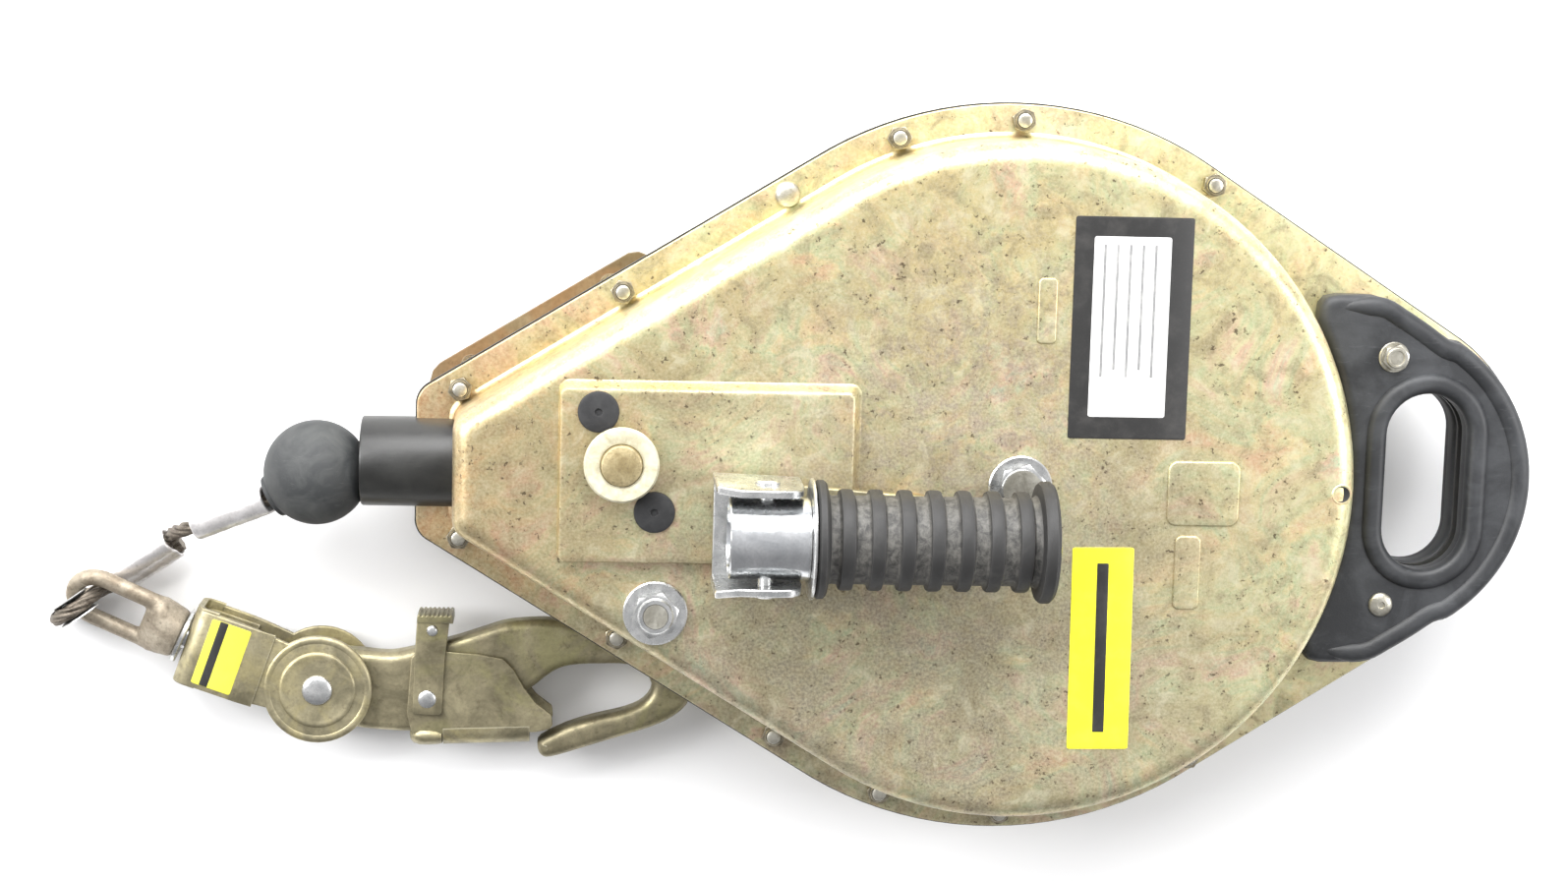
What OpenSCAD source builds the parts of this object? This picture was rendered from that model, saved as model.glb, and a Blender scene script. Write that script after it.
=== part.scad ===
// Self retracting lifeline with a retrieval crank: a pressed teardrop casing lying on its back,
// a sprung drum of wire rope, a folding crank, a carry handle and a swivel snap hook.
// Origin: drum axis on the back face. +X to the carry handle, +Z out of the crank face.

/* [Casing] */
// Radius of the flange round the drum
flange_r = 155; // [153:0.5:157]
// Width of the flange outside the shell wall
flange_w = 14; // [12:0.5:15]
// Sheet thickness of the pressed shells
sheet_t = 2; // [1.5:0.1:2.5]
// Height of the crank face above the back
face_z = 94; // [93:0.5:95]
// Rounding of the shell's face edge
edge_r = 6; // [4:0.5:7]
// Height of the raised pad on the crank face
pad_h = 6; // [4:0.5:6]

/* [Carry handle] */
// Distance of the handle's end arc centre from the drum axis
end_x = 154; // [152:1:155]
// Radius of the end arc
end_r = 72; // [70:0.5:74]
// Half length of the hand slot
slot_half = 37.5; // [34:0.5:40]
// Width of the hand slot
slot_w = 35; // [32:1:36]

/* [Drum and line] */
// Outer radius of the drum's flanges
drum_r = 92; // [88:1:94]
// Radius at which the line leaves the rope pack
wrap_r = 84; // [84:1:84]
// Wire rope diameter
rope_d = 6.35; // [6:0.05:6.4]
// Number of teeth inside the brake ring
brake_teeth = 12; // [12:1:12]

/* [Retrieval crank] */
// Gear module
gear_m = 1.3; // [1.3:0.1:1.3]
// Teeth on the pinion
pinion_n = 12; // [12:1:12]
// Teeth on the retrieval gear
gear_n = 60; // [60:1:60]
// Outer diameter of the grip's ribs
grip_d = 40; // [38:0.5:41]

/* [Hidden] */

$fn = 64;
e = 0.05;
zinc = [0.77, 0.70, 0.45];
flange_z0 = 46;                 // lower face of the gasket
flange_z1 = 48;                 // joint line between gasket and front shell
line_z = 47;                    // height of the lifeline in the casing
nose_x = -248;                  // end of the nose
wall_r = flange_r - flange_w;
crank_p = [-44, -16];           // crank shaft axis
sel_p = [-163, 8.5];            // selector pin axis
tie_p = [-148, -54];            // tie bolt axis
main_top = face_z + 7;
bolt_xy = [[-230, 31.4], [-162.8, 73.4], [-95, 115.4], [-49, 139.8], [3, 148.3], [84.5, 123],
           [-230, -31.4], [-162.8, -73.4], [-95, -115.4], [-49, -139.8], [3, -148.3], [84.5, -123]];
round_head = 2;                 // this bolt has its round head on the crank side
handle_xy = [[162, 53], [162, -53]];

// ---------- outlines ----------
// tangent unit normals of the two straight sides
nl_a = 180 - 58.5;              // direction of the nose side's normal
nl = [cos(nl_a), sin(nl_a)];
nr_a = acos((flange_r - end_r) / end_x);
nr = [cos(nr_a), sin(nr_a)];

// half nose outline inset by d, corner radius r, end face at x
function nose_c(d, r, x) = [x + r, (flange_r - d - r - nl[0] * (x + r)) / nl[1]];

// straight sides lie this far inside the arcs, so each meets its arc at a clear angle
sec = 0.05;
module nose2d(d, r, x) {
  c = nose_c(d, r, x);
  circle(flange_r - d, $fn = 128);
  for (s = [1, -1]) translate([c[0], s * c[1]]) circle(r);
  p1 = [for (v = [0, 1]) (flange_r - d - sec) * nl[v]];
  p2 = [c[0] + (r - sec) * nl[0], c[1] + (r - sec) * nl[1]];
  xe = x + sec;
  polygon([[0, 0], p1, p2, [c[0], c[1]], [xe, c[1]], [xe, -c[1]], [c[0], -c[1]],
           [p2[0], -p2[1]], [p1[0], -p1[1]]]);
}
module tail2d(d) {
  translate([end_x, 0]) circle(end_r - d, $fn = 128);
  p1 = [for (v = [0, 1]) (flange_r - d - sec) * nr[v]];
  p2 = [end_x + (end_r - d - sec) * nr[0], (end_r - d - sec) * nr[1]];
  polygon([[0, 0], p1, p2, [end_x, 0], [p2[0], -p2[1]], [p1[0], -p1[1]]]);
}
module outline2d(d) { nose2d(d, 10 - d * 0.5, nose_x + d); tail2d(d); }
module slot2d(d) {
  translate([161 + slot_w / 2, 0]) {
    for (s = [1, -1]) translate([0, s * (slot_half - slot_w / 2)]) circle(slot_w / 2 + d);
    square([slot_w + 2 * d - 2 * sec, 2 * slot_half - slot_w], center = true);
  }
}
module at(list) { for (p = list) translate(p) children(); }

// raised shell body, rounded round the face edge: outer or inner surface
module shell_body(d, h, r) {
  nr_ = 8;
  c = nose_c(d, nr_, nose_x + d + 2);
  linear_extrude(h - r) nose2d(d, nr_, nose_x + d + 2);
  steps = 5;
  for (i = [1 : steps]) {
    a1 = 90 * i / steps;
    q = r * (1 - cos(a1 - 45 / steps));
    translate([0, 0, h - r - i]) linear_extrude(i + r * sin(a1))
      nose2d(d + q, max(nr_ - q, 2), nose_x + d + 2 + q);
  }
}
module pad_box(h, d) {
  translate([-188 + d, -32.5 + d, face_z - 8])
    cube([119 - 2 * d, 71 - 2 * d, 8 + h]);
}

module front_shell() {
  color(zinc) difference() {
    union() {
      translate([0, 0, flange_z1]) linear_extrude(sheet_t) outline2d(0);
      translate([0, 0, flange_z1]) shell_body(flange_w, face_z - flange_z1, edge_r);
      intersection() {
        pad_box(pad_h, 0);
        translate([0, 0, flange_z1]) linear_extrude(80) nose2d(flange_w + 2, 8, nose_x + 20);
      }
    }
    difference() {
      union() {
        translate([0, 0, flange_z1 - 1])
          shell_body(flange_w + sheet_t, face_z - flange_z1 - sheet_t + 1, edge_r - 1);
        pad_box(pad_h - sheet_t, sheet_t);
      }
    }
    slot_cut();
    at([for (p = bolt_xy) [p[0], p[1], 40]]) cylinder(r = 3.1, h = 20);
    at([for (p = handle_xy) [p[0], p[1], 20]]) cylinder(r = 3.1, h = 60);
    translate([0, 0, 60]) cylinder(r = 8.05, h = 60);
    translate([crank_p[0], crank_p[1], 60]) cylinder(r = 13.05, h = 60);
    translate([sel_p[0], sel_p[1], 60]) cylinder(r = 8.55, h = 60);
    translate([tie_p[0], tie_p[1], 60]) cylinder(r = 5.1, h = 60);
    translate([133.6, -1, 60]) cylinder(r = 3.25, h = 60);
    translate([-300, 0, line_z]) rotate([0, 90, 0]) cylinder(r = 18.95, h = 85);
  }
}
module slot_cut() { translate([0, 0, 10]) linear_extrude(80) slot2d(0.3); }

module rear_shell() {
  color(zinc) difference() {
    union() {
      translate([0, 0, flange_z0 - sheet_t]) linear_extrude(sheet_t) outline2d(0.6);
      translate([0, 0, flange_z0]) mirror([0, 0, 1])
        shell_body(flange_w, flange_z0 - 4, edge_r);
    }
    translate([0, 0, flange_z0 + 1]) mirror([0, 0, 1])
      shell_body(flange_w + sheet_t, flange_z0 - 4 - sheet_t + 1, edge_r - 1);
    slot_cut();
    at([for (p = bolt_xy) [p[0], p[1], 30]]) cylinder(r = 3.1, h = 30);
    at([for (p = handle_xy) [p[0], p[1], 20]]) cylinder(r = 3.1, h = 60);
    translate([0, 0, -1]) cylinder(r = 8.05, h = 20);
    translate([tie_p[0], tie_p[1], -1]) cylinder(r = 5.1, h = 20);
    at([[-200, 12, -1], [-200, -12, -1]]) cylinder(r = 3.1, h = 20);
    translate([-300, 0, line_z]) rotate([0, 90, 0]) cylinder(r = 18.95, h = 85);
  }
}
module shell_gasket() {
  color([0.07, 0.07, 0.07]) difference() {
    translate([0, 0, flange_z0]) union() {
      linear_extrude(flange_z1 - flange_z0) nose2d(-0.7, 10.35, nose_x - 0.7);
      linear_extrude(flange_z1 - flange_z0) tail2d(-0.7);
    }
    translate([0, 0, 40]) linear_extrude(20) nose2d(flange_w + sheet_t, 8, nose_x + flange_w + 2);
    slot_cut();
    at([for (p = concat(bolt_xy, handle_xy)) [p[0], p[1], 40]]) cylinder(r = 3.1, h = 20);
    translate([-300, 0, line_z]) rotate([0, 90, 0]) cylinder(r = 18.95, h = 85);
  }
}
// hexagon prism across-flats s
module hex(s, h) { rotate(15) cylinder(d = s / cos(30), h = h, $fn = 6); }
module flange_bolts() {
  color([0.75, 0.74, 0.68]) for (i = [0 : 11]) translate([bolt_xy[i][0], bolt_xy[i][1], 0]) {
    if (i == round_head) {
      translate([0, 0, 38]) cylinder(r = 3, h = 14);
      difference() {
        translate([0, 0, 50 - 4]) sphere(r = 7.4);
        translate([-9, -9, 30]) cube([18, 18, 20]);
      }
    } else {
      translate([0, 0, 42]) cylinder(r = 3, h = 14.2);
      translate([0, 0, 40]) hex(9, 4);
    }
  }
}
module flange_nuts() {
  color([0.6, 0.57, 0.45]) for (i = [0 : 11]) translate([bolt_xy[i][0], bolt_xy[i][1], 0])
    translate([0, 0, i == round_head ? 39 : 50]) difference() {
      union() { hex(9, 4); cylinder(r = 4, h = 5); }
      translate([0, 0, -1]) cylinder(r = 3.02, h = 8);
    }
}
module nozzle_bushing() {
  color([0.08, 0.08, 0.08]) difference() {
    union() {
      translate([-271, 0, line_z]) rotate([0, 90, 0]) cylinder(r = 18.9, h = 47);
      translate([-229, 0, line_z]) rotate([0, 90, 0]) cylinder(r = 21.5, h = 5);
    }
    translate([-275, 0, line_z]) rotate([0, 90, 0]) cylinder(r = 12, h = 60);
    translate([-271.5, 0, line_z]) rotate([0, 90, 0])
      cylinder(r1 = 17.6, r2 = 12, h = 6);
    translate([-223.9, 0, line_z]) rotate([0, -90, 0]) cylinder(r1 = 18, r2 = 12, h = 20);
  }
}
module handle2d(d) {
  difference() {
    intersection() {
      union() {
        translate([end_x, 0]) circle(end_r - 1 - d, $fn = 128);
        intersection() {
          tail2d(3 + d);
          translate([130, -79 + d]) square([80, 158 - 2 * d]);
        }
      }
      translate([100, -79 + d]) square([140, 158 - 2 * d]);
    }
    circle(wall_r + 5.5 + d, $fn = 128);
    slot2d(d);
  }
}
module handle_half(h) {
  linear_extrude(h - 3) handle2d(0);
  linear_extrude(h - 1) handle2d(1.2);
  linear_extrude(h) handle2d(3);
}
module handle_front() {
  color([0.13, 0.13, 0.14]) difference() {
    translate([0, 0, 50]) handle_half(15);
    at([for (p = handle_xy) [p[0], p[1], 40]]) cylinder(r = 3.1, h = 40);
    at([for (p = handle_xy) [p[0], p[1], 61]]) cylinder(r = 7, h = 10);
  }
}
module handle_rear() {
  color([0.13, 0.13, 0.14]) difference() {
    translate([0, 0, 44]) mirror([0, 0, 1]) handle_half(15);
    at([for (p = handle_xy) [p[0], p[1], 20]]) cylinder(r = 3.1, h = 40);
    at([for (p = handle_xy) [p[0], p[1], 20]]) cylinder(r = 7, h = 13);
  }
}
module handle_fasteners() {
  color([0.7, 0.7, 0.68]) {
    translate([162, 53, 30]) cylinder(r = 3, h = 34.5);
    translate([162, 53, 29]) hex(10, 4);
    translate([162, 53, 61]) difference() { hex(10, 4); translate([0, 0, -1]) cylinder(r = 2.9, h = 9); }
    translate([162, -53, 30]) cylinder(r = 3, h = 31);
    translate([162, -53, 29]) hex(10, 4);
    translate([162, -53, 61]) intersection() {
      cylinder(r = 5, h = 4);
      translate([0, 0, -4.6]) sphere(r = 8);
    }
  }
}
module bracket2d() {
  polygon([[-151, 85.2], [-144, 79], [-140, 74], [-140, -36], [-142, -40], [-146, -42],
           [-198, -61.5], [-202, -60.6], [-241, -36.8], [-244, -33.5], [-245.5, -28], [-245.5, 28],
           [-244, 33.5], [-241, 36.8], [-160, 86.3], [-155.5, 87]]);
}
module mounting_bracket() {
  color([0.50, 0.40, 0.22]) difference() {
    linear_extrude(4) bracket2d();
    at([[-227.3, 36.1, -1], [-227.3, -36.1, -1], [-167.6, 72.6, -1]]) cylinder(r = 4.5, h = 8);
    at([[-200, 12, -1], [-200, -12, -1]]) cylinder(r = 3.1, h = 8);
    translate([tie_p[0], tie_p[1], -1]) cylinder(r = 12, h = 8);
  }
}

// ---------- fixed parts inside the casing ----------
pillar_xy = [for (a = [15, 105, 195, 285]) [118 * cos(a), 118 * sin(a)]];
module rear_frame_plate() {
  color([0.62, 0.62, 0.6]) difference() {
    translate([0, 0, 6]) linear_extrude(3) difference() {
      circle(134, $fn = 128);
      circle(8.05);
      for (a = [30 : 60 : 330]) rotate(a) translate([70, 0]) circle(18);
    }
    at([for (p = pillar_xy) [p[0], p[1], 0]]) cylinder(r = 3.1, h = 20);
  }
}
module front_frame_plate() {
  color([0.62, 0.62, 0.6]) difference() {
    translate([0, 0, 79]) linear_extrude(4) difference() {
      circle(134, $fn = 128);
      circle(8.05);
      for (a = [30 : 60 : 330]) rotate(a) translate([95, 0]) circle(18);
      translate(crank_p) circle(13.05);
    }
    at([for (p = pillar_xy) [p[0], p[1], 70]]) cylinder(r = 3.1, h = 20);
  }
}
module frame_pillars() {
  color([0.55, 0.55, 0.53]) at([for (p = pillar_xy) [p[0], p[1], 0]]) {
    translate([0, 0, 9]) cylinder(r = 6, h = 70);
    translate([0, 0, 6]) cylinder(r = 3, h = 77);
    translate([0, 0, 83]) hex(9, 5);
  }
}
module main_shaft() {
  color([0.74, 0.74, 0.72]) {
    cylinder(r = 30, h = 4);
    cylinder(r = 8, h = main_top + 1);
  }
}
module main_shaft_nut() {
  color([0.8, 0.8, 0.8]) difference() {
    translate([0, 0, face_z]) union() {
      cylinder(r = 13.2, h = 2);
      cylinder(r = 10.4, h = 2.6);
      translate([0, 0, 2]) cylinder(r = 9.6, h = 4.6, $fn = 6);
    }
    cylinder(r = 8.02, h = 120);
  }
}
module tie_bolt() {
  color([0.75, 0.75, 0.74]) translate([tie_p[0], tie_p[1], 0]) {
    cylinder(r = 9, h = 4);
    cylinder(r = 5, h = face_z + 9);
  }
}
module tie_bolt_nut() {
  color([0.8, 0.8, 0.8]) difference() {
    translate([tie_p[0], tie_p[1], face_z]) {
      cylinder(r = 13.2, h = 2);
      translate([0, 0, 2]) cylinder(r = 9.2, h = 7, $fn = 6);
    }
    translate([tie_p[0], tie_p[1], 0]) cylinder(r = 5.02, h = 120);
  }
}
module spring_case() {
  color([0.66, 0.6, 0.42]) translate([0, 0, 9]) difference() {
    cylinder(r = 82, h = 20, $fn = 128);
    translate([0, 0, 2]) cylinder(r = 80, h = 30, $fn = 128);
    translate([0, 0, -1]) cylinder(r = 8.05, h = 10);
  }
}
// flat spiral strip of the mainspring
spr_n = 60;
spr_turns = 5;
function spiral(i, off) = let (a = 360 * spr_turns * i / spr_n, r = 33 + 44 * i / spr_n + off)
  [r * cos(a), r * sin(a)];
module mainspring() {
  color([0.35, 0.37, 0.42]) translate([0, 0, 12]) linear_extrude(14)
    polygon(concat([for (i = [0 : spr_n]) spiral(i, 0)], [for (i = [spr_n : -1 : 0]) spiral(i, 1)]));
}
module spring_cover() {
  color([0.66, 0.6, 0.42]) translate([0, 0, 29]) difference() {
    cylinder(r = 82, h = 2, $fn = 128);
    translate([0, 0, -1]) cylinder(r = 31, h = 6);
  }
}
// pitch of the brake ring's inner teeth
tooth_a = 360 / brake_teeth;
module brake_ring() {
  color([0.5, 0.5, 0.5]) translate([0, 0, 62]) difference() {
    union() {
      cylinder(r = 104, h = 7, $fn = 128);
      for (a = [15, 105, 195, 285]) rotate(a) translate([96, -10, 0]) cube([30, 20, 3]);
    }
    translate([0, 0, -1]) linear_extrude(12) union() {
      circle(84, $fn = 128);
      for (k = [0 : brake_teeth - 1]) rotate(k * tooth_a)
        polygon([[80, 0], [93, 0], [92 * cos(tooth_a * 0.62), 92 * sin(tooth_a * 0.62)],
                 [80 * cos(tooth_a * 0.85), 80 * sin(tooth_a * 0.85)]]);
    }
    for (a = [15, 105, 195, 285]) rotate(a) translate([118, 0, -1]) cylinder(r = 6.02, h = 6);
  }
}
module crank_bushing() {
  color([0.7, 0.55, 0.25]) translate([crank_p[0], crank_p[1], 79]) difference() {
    union() { cylinder(r = 13, h = 21); translate([0, 0, 4]) cylinder(r = 16, h = 3); }
    translate([0, 0, -1]) cylinder(r = 6.05, h = 30);
  }
}
module rubber_discs() {
  color([0.12, 0.12, 0.12]) at([[-172.5, 29, face_z + pad_h], [-149.3, -11.5, face_z + pad_h]])
    difference() {
      union() { cylinder(r = 8.4, h = 1.5); translate([0, 0, 1.4]) cylinder(r = 7.6, h = 0.4); }
      translate([0, 0, 0.5]) cylinder(r = 1.6, h = 3);
    }
}
module rating_label() {
  color([0.93, 0.93, 0.93]) translate([18.7, 20.6, face_z]) cube([48.6, 90.7, 0.3]);
}
module warning_sticker() {
  color([0.93, 0.93, 0.2]) translate([35.9, -66.8, face_z]) rotate(0.6)
    translate([-12.75, -42.3, 0]) cube([25.5, 84.6, 0.3]);
}

// ---------- drum ----------
module drum() {
  color([0.72, 0.72, 0.7]) difference() {
    union() {
      translate([0, 0, 34]) cylinder(r = drum_r, h = 3, $fn = 128);
      translate([0, 0, 57]) cylinder(r = drum_r, h = 3, $fn = 128);
      translate([0, 0, 34]) cylinder(r = 45, h = 26);
    }
    translate([0, 0, 20]) cylinder(r = 8.05, h = 60);
    for (a = [0 : 60 : 300]) rotate(a) translate([28, 0, 20]) cylinder(r = 8, h = 60);
    rotate(pawl_a0) translate([pawl_r, 0, 50]) cylinder(r = 3.05, h = 30);
    rotate(pawl_a0 + 180) translate([pawl_r, 0, 50]) cylinder(r = 3.05, h = 30);
  }
}
module rope_pack() {
  color([0.45, 0.42, 0.36]) translate([0, 0, line_z]) difference() {
    rotate_extrude($fn = 96) {
      translate([45.1, -9.7]) square([32.2, 19.4]);
      for (i = [-1, 0, 1]) translate([77.2, i * 6.5]) circle(3.2);
    }
  }
}
pawl_r = 62;
pawl_a0 = 20;
module pawl_pins() {
  color([0.8, 0.8, 0.78]) for (a = [pawl_a0, pawl_a0 + 180]) rotate(a)
    translate([pawl_r, 0, 57]) { cylinder(r = 3, h = 12); translate([0, 0, 10.2]) cylinder(r = 5, h = 1.5); }
}
module spring_arbor() {
  color([0.6, 0.6, 0.6]) difference() {
    union() { translate([0, 0, 12]) cylinder(r = 30, h = 22); }
    translate([0, 0, 10]) cylinder(r = 8.05, h = 40);
    translate([0, 0, 11]) cylinder(r = 25, h = 20);
  }
}
// a hooked pawl that swings out about its pin into the brake ring
module pawl() {
  translate([pawl_r, 0, 62]) mirror([0, 1, 0]) {
    linear_extrude(5) difference() {
      union() {
        circle(7);
        polygon([[-5, -5], [6.9, -1], [8, 12], [12, 27], [9.5, 29], [-3, 22], [-7, 2]]);
      }
      circle(3.05);
    }
  }
}
module pawl_a() { color([0.55, 0.52, 0.5]) rotate(pawl_a0) pawl(); }
module pawl_b() { color([0.55, 0.52, 0.5]) rotate(pawl_a0 + 180) pawl(); }

// ---------- retrieval crank ----------
// gear outline with simple tapered teeth
module gear2d(n, backlash) {
  rp = gear_m * n / 2;
  p = 360 / n;
  ro = rp + gear_m * 0.85;
  rr = rp - gear_m * 1.15;
  w = backlash;
  circle(rr, $fn = 96);
  for (k = [0 : n - 1]) rotate(k * p) polygon([
    [(rr - 0.4) * cos(p * 0.33), -(rr - 0.4) * sin(p * 0.33)],
    [rp * cos(p * w), -rp * sin(p * w)], [ro * cos(p * 0.1), -ro * sin(p * 0.1)],
    [ro * cos(p * 0.1), ro * sin(p * 0.1)], [rp * cos(p * w), rp * sin(p * w)],
    [(rr - 0.4) * cos(p * 0.33), (rr - 0.4) * sin(p * 0.33)]]);
}
gear_dir = atan2(crank_p[1], crank_p[0]);
module retrieval_gear() {
  color([0.6, 0.6, 0.58]) translate([0, 0, 71]) difference() {
    union() {
      linear_extrude(6) rotate(gear_dir + 3) gear2d(gear_n, 0.225);
      translate([0, 0, -1.5]) cylinder(r = 14, h = 8.5);
    }
    translate([0, 0, -3]) cylinder(r = 8.05, h = 12);
    for (a = [0 : 60 : 300]) rotate(a) translate([24, 0, -3]) cylinder(r = 6, h = 12);
  }
}
module pinion() {
  color([0.66, 0.64, 0.6]) translate([crank_p[0], crank_p[1], 71]) difference() {
    linear_extrude(6) rotate(gear_dir + 180) gear2d(pinion_n, 0.225);
    translate([0, 0, -1]) cylinder(r = 4, h = 8);
  }
}
module crank_shaft() {
  color([0.74, 0.74, 0.72]) translate([crank_p[0], crank_p[1], 70.5]) {
    cylinder(r = 4, h = 7);
    translate([0, 0, 6.5]) cylinder(r = 6, h = 30.4);
    translate([0, 0, 36]) cylinder(r = 4, h = 5);
  }
}
module crank_arm() {
  color([0.8, 0.8, 0.8]) difference() {
    translate([0, 0, 102]) linear_extrude(4.5) {
      translate(crank_p) circle(14);
      polygon([[-44, -29.9], [-44, -2.1], [-92, 1.5], [-126, 1.5], [-126, -33.5], [-92, -33.5]]);
    }
    translate([crank_p[0], crank_p[1], 90]) cylinder(r = 6.02, h = 30);
  }
}
module crank_nut() {
  color([0.8, 0.8, 0.8]) translate([crank_p[0], crank_p[1], 106.5]) difference() {
    union() { cylinder(r = 10, h = 1); cylinder(r = 8, h = 4.2, $fn = 6); }
    translate([0, 0, -1]) cylinder(r = 4.02, h = 9);
    translate([0, 0, -1]) cylinder(r = 6.02, h = 2.02);
  }
}
fold_x = -106;
grip_z = 132;
grip_y = -16;
module crank_clevis() {
  color([0.8, 0.8, 0.81]) difference() {
    union() {
      translate([-126, -37, 106.5]) cube([35, 42, 3]);
      for (s = [0, 1]) translate([0, s * 39, 0]) {
        translate([-126, -37, 106.5]) cube([34, 3, 20]);
        translate([fold_x, -37, grip_z]) rotate([-90, 0, 0]) cylinder(r = 14, h = 3);
        translate([fold_x - 14, -37, 115]) cube([28, 3, grip_z - 115]);
      }
    }
    translate([fold_x, -50, grip_z]) rotate([-90, 0, 0]) cylinder(r = 3.02, h = 80);
  }
}
module fold_pin() {
  color([0.75, 0.75, 0.75]) translate([fold_x, 0, grip_z]) rotate([-90, 0, 0]) {
    translate([0, 0, -38]) cylinder(r = 3, h = 44);
    translate([0, 0, -39.5]) cylinder(r = 5, h = 2.5);
    translate([0, 0, 5]) cylinder(r = 5, h = 2.5);
  }
}
module handle_spindle() {
  color([0.82, 0.82, 0.83]) difference() {
    union() {
      translate([-121, grip_y, grip_z]) rotate([0, 90, 0]) cylinder(r = 13.5, h = 32);
      translate([-90, grip_y, grip_z]) rotate([0, 90, 0]) cylinder(r = 6, h = 98);
      translate([8, grip_y, grip_z]) rotate([0, 90, 0]) cylinder(r = 9, h = 2);
    }
    translate([-122, grip_y, grip_z]) rotate([0, 90, 0]) cylinder(r = 10.5, h = 28);
    translate([fold_x, -50, grip_z]) rotate([-90, 0, 0]) cylinder(r = 3.05, h = 80);
  }
}
module grip_washer() {
  color([0.85, 0.85, 0.86]) translate([-89, grip_y, grip_z]) rotate([0, 90, 0]) difference() {
    cylinder(r = 24, h = 1.5);
    translate([0, 0, -1]) cylinder(r = 6.02, h = 4);
  }
}
grip_x0 = -87;
rib_p = 11.6;
module grip() {
  color([0.1, 0.1, 0.1]) translate([grip_x0, grip_y, grip_z]) rotate([0, 90, 0]) difference() {
    union() {
      cylinder(r = 23.5, h = 4);
      cylinder(r = 17.5, h = 94);
      for (i = [0 : 6]) translate([0, 0, 9 + i * rib_p]) cylinder(r = grip_d / 2, h = 6);
      translate([0, 0, 88]) cylinder(r = 24.2, h = 6);
    }
    translate([0, 0, -1]) cylinder(r = 6.06, h = 93);
    translate([0, 0, 91]) cylinder(r = 10.5, h = 5);
  }
}
// ---------- selector ----------
module selector_pin() {
  color([0.78, 0.7, 0.45]) translate([sel_p[0], sel_p[1], 0]) difference() {
    union() {
      translate([0, 0, 64]) cylinder(r = 8.5, h = 46);
      translate([0, 0, 64]) cylinder(r = 11, h = 3);
    }
  }
}
module selector_ring() {
  color([0.9, 0.88, 0.78]) translate([sel_p[0], sel_p[1], 105]) difference() {
    cylinder(r = 15.2, h = 3.6);
    translate([0, 0, -1]) cylinder(r = 8.6, h = 6);
  }
}

// ---------- line ----------
line_a = asin(wrap_r / 260);            // slope of the straight stretch to the nozzle
tan_p = [-wrap_r * sin(line_a), -wrap_r * cos(line_a)];
line_len = 260 * cos(line_a) + 11.6;
module lifeline_inner() {
  color([0.45, 0.42, 0.36]) translate([tan_p[0], tan_p[1], line_z]) rotate([0, 0, 180 - line_a])
    rotate([0, 90, 0]) cylinder(d = rope_d, h = line_len, $fn = 24);
}
// centreline of the outer stretch, from the nozzle to the dead end
route = [[-271, 3.8, 47], [-275, 3.6, 47], [-280, 1.5, 47], [-285, -2, 46.5], [-290, -5.5, 46],
  [-296, -9.5, 45.5], [-302, -13.2, 44.5], [-309, -17, 43], [-317, -20.5, 40.5], [-325, -24, 38],
  [-333, -27.5, 35.5], [-341.5, -31, 33], [-346, -33, 30.5], [-350, -35, 26],
  [-353, -36.5, 21.5], [-355, -40, 16.5], [-360, -43, 15.5], [-365, -46.5, 14.5],
  [-371, -50.5, 13.5], [-376.5, -54.5, 12], [-381.5, -58, 11.2],
  [-384.5, -61, 13], [-387, -64, 16.5], [-389.5, -66, 20.5], [-392, -68, 23.5], [-395, -70, 25],
  [-398.5, -72, 24], [-401.5, -74, 22], [-403.5, -75.5, 18.5], [-404, -76, 14],
  [-403.5, -75.5, 10], [-401.5, -74, 6.5], [-398.5, -72, 4], [-395, -70, 3.5],
  [-392, -67.5, 3.5], [-388.5, -66, 4], [-384.5, -64, 5], [-380, -62, 6], [-374.5, -58, 7],
  [-368.5, -54, 8.5], [-363, -50.3, 9.2], [-358, -47.2, 10.4], [-351, -42.8, 11.2]];
// ring of n points round point i of a route
function unit(v) = v / norm(v);
function dir_at(r, i) = unit(r[min(i + 1, len(r) - 1)] - r[max(i - 1, 0)]);
function ring_at(r, i, rad, n) = let (t = dir_at(r, i), s = unit(cross([0.55, -0.83, 0.02], t)),
  u = cross(t, s)) [for (k = [0 : n - 1]) r[i] + rad * (cos(360 * k / n) * s + sin(360 * k / n) * u)];
module tube(r, rad, n) {
  m = len(r);
  polyhedron(points = [for (i = [0 : m - 1]) each ring_at(r, i, rad, n)],
    faces = concat([[for (k = [0 : n - 1]) k]],
      [for (i = [0 : m - 2], k = [0 : n - 1]) let (a = i * n + k, b = i * n + (k + 1) % n)
        each [[a + n, b + n, b], [a + n, b, a]]],
      [[for (k = [n - 1 : -1 : 0]) (m - 1) * n + k]]));
}
module lifeline_end() { color([0.45, 0.42, 0.36]) tube(route, rope_d / 2, 12); }
ball_p = [-290, -5.5, 46];
module ball_bumper() {
  color([0.16, 0.17, 0.18]) {
    translate(ball_p) sphere(r = 22, $fn = 96);
    translate([-308.6, -16.8, 43.2]) rotate([0, -12, 25]) rotate([0, 90, 0]) cylinder(r = 9, h = 9);
  }
}
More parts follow.
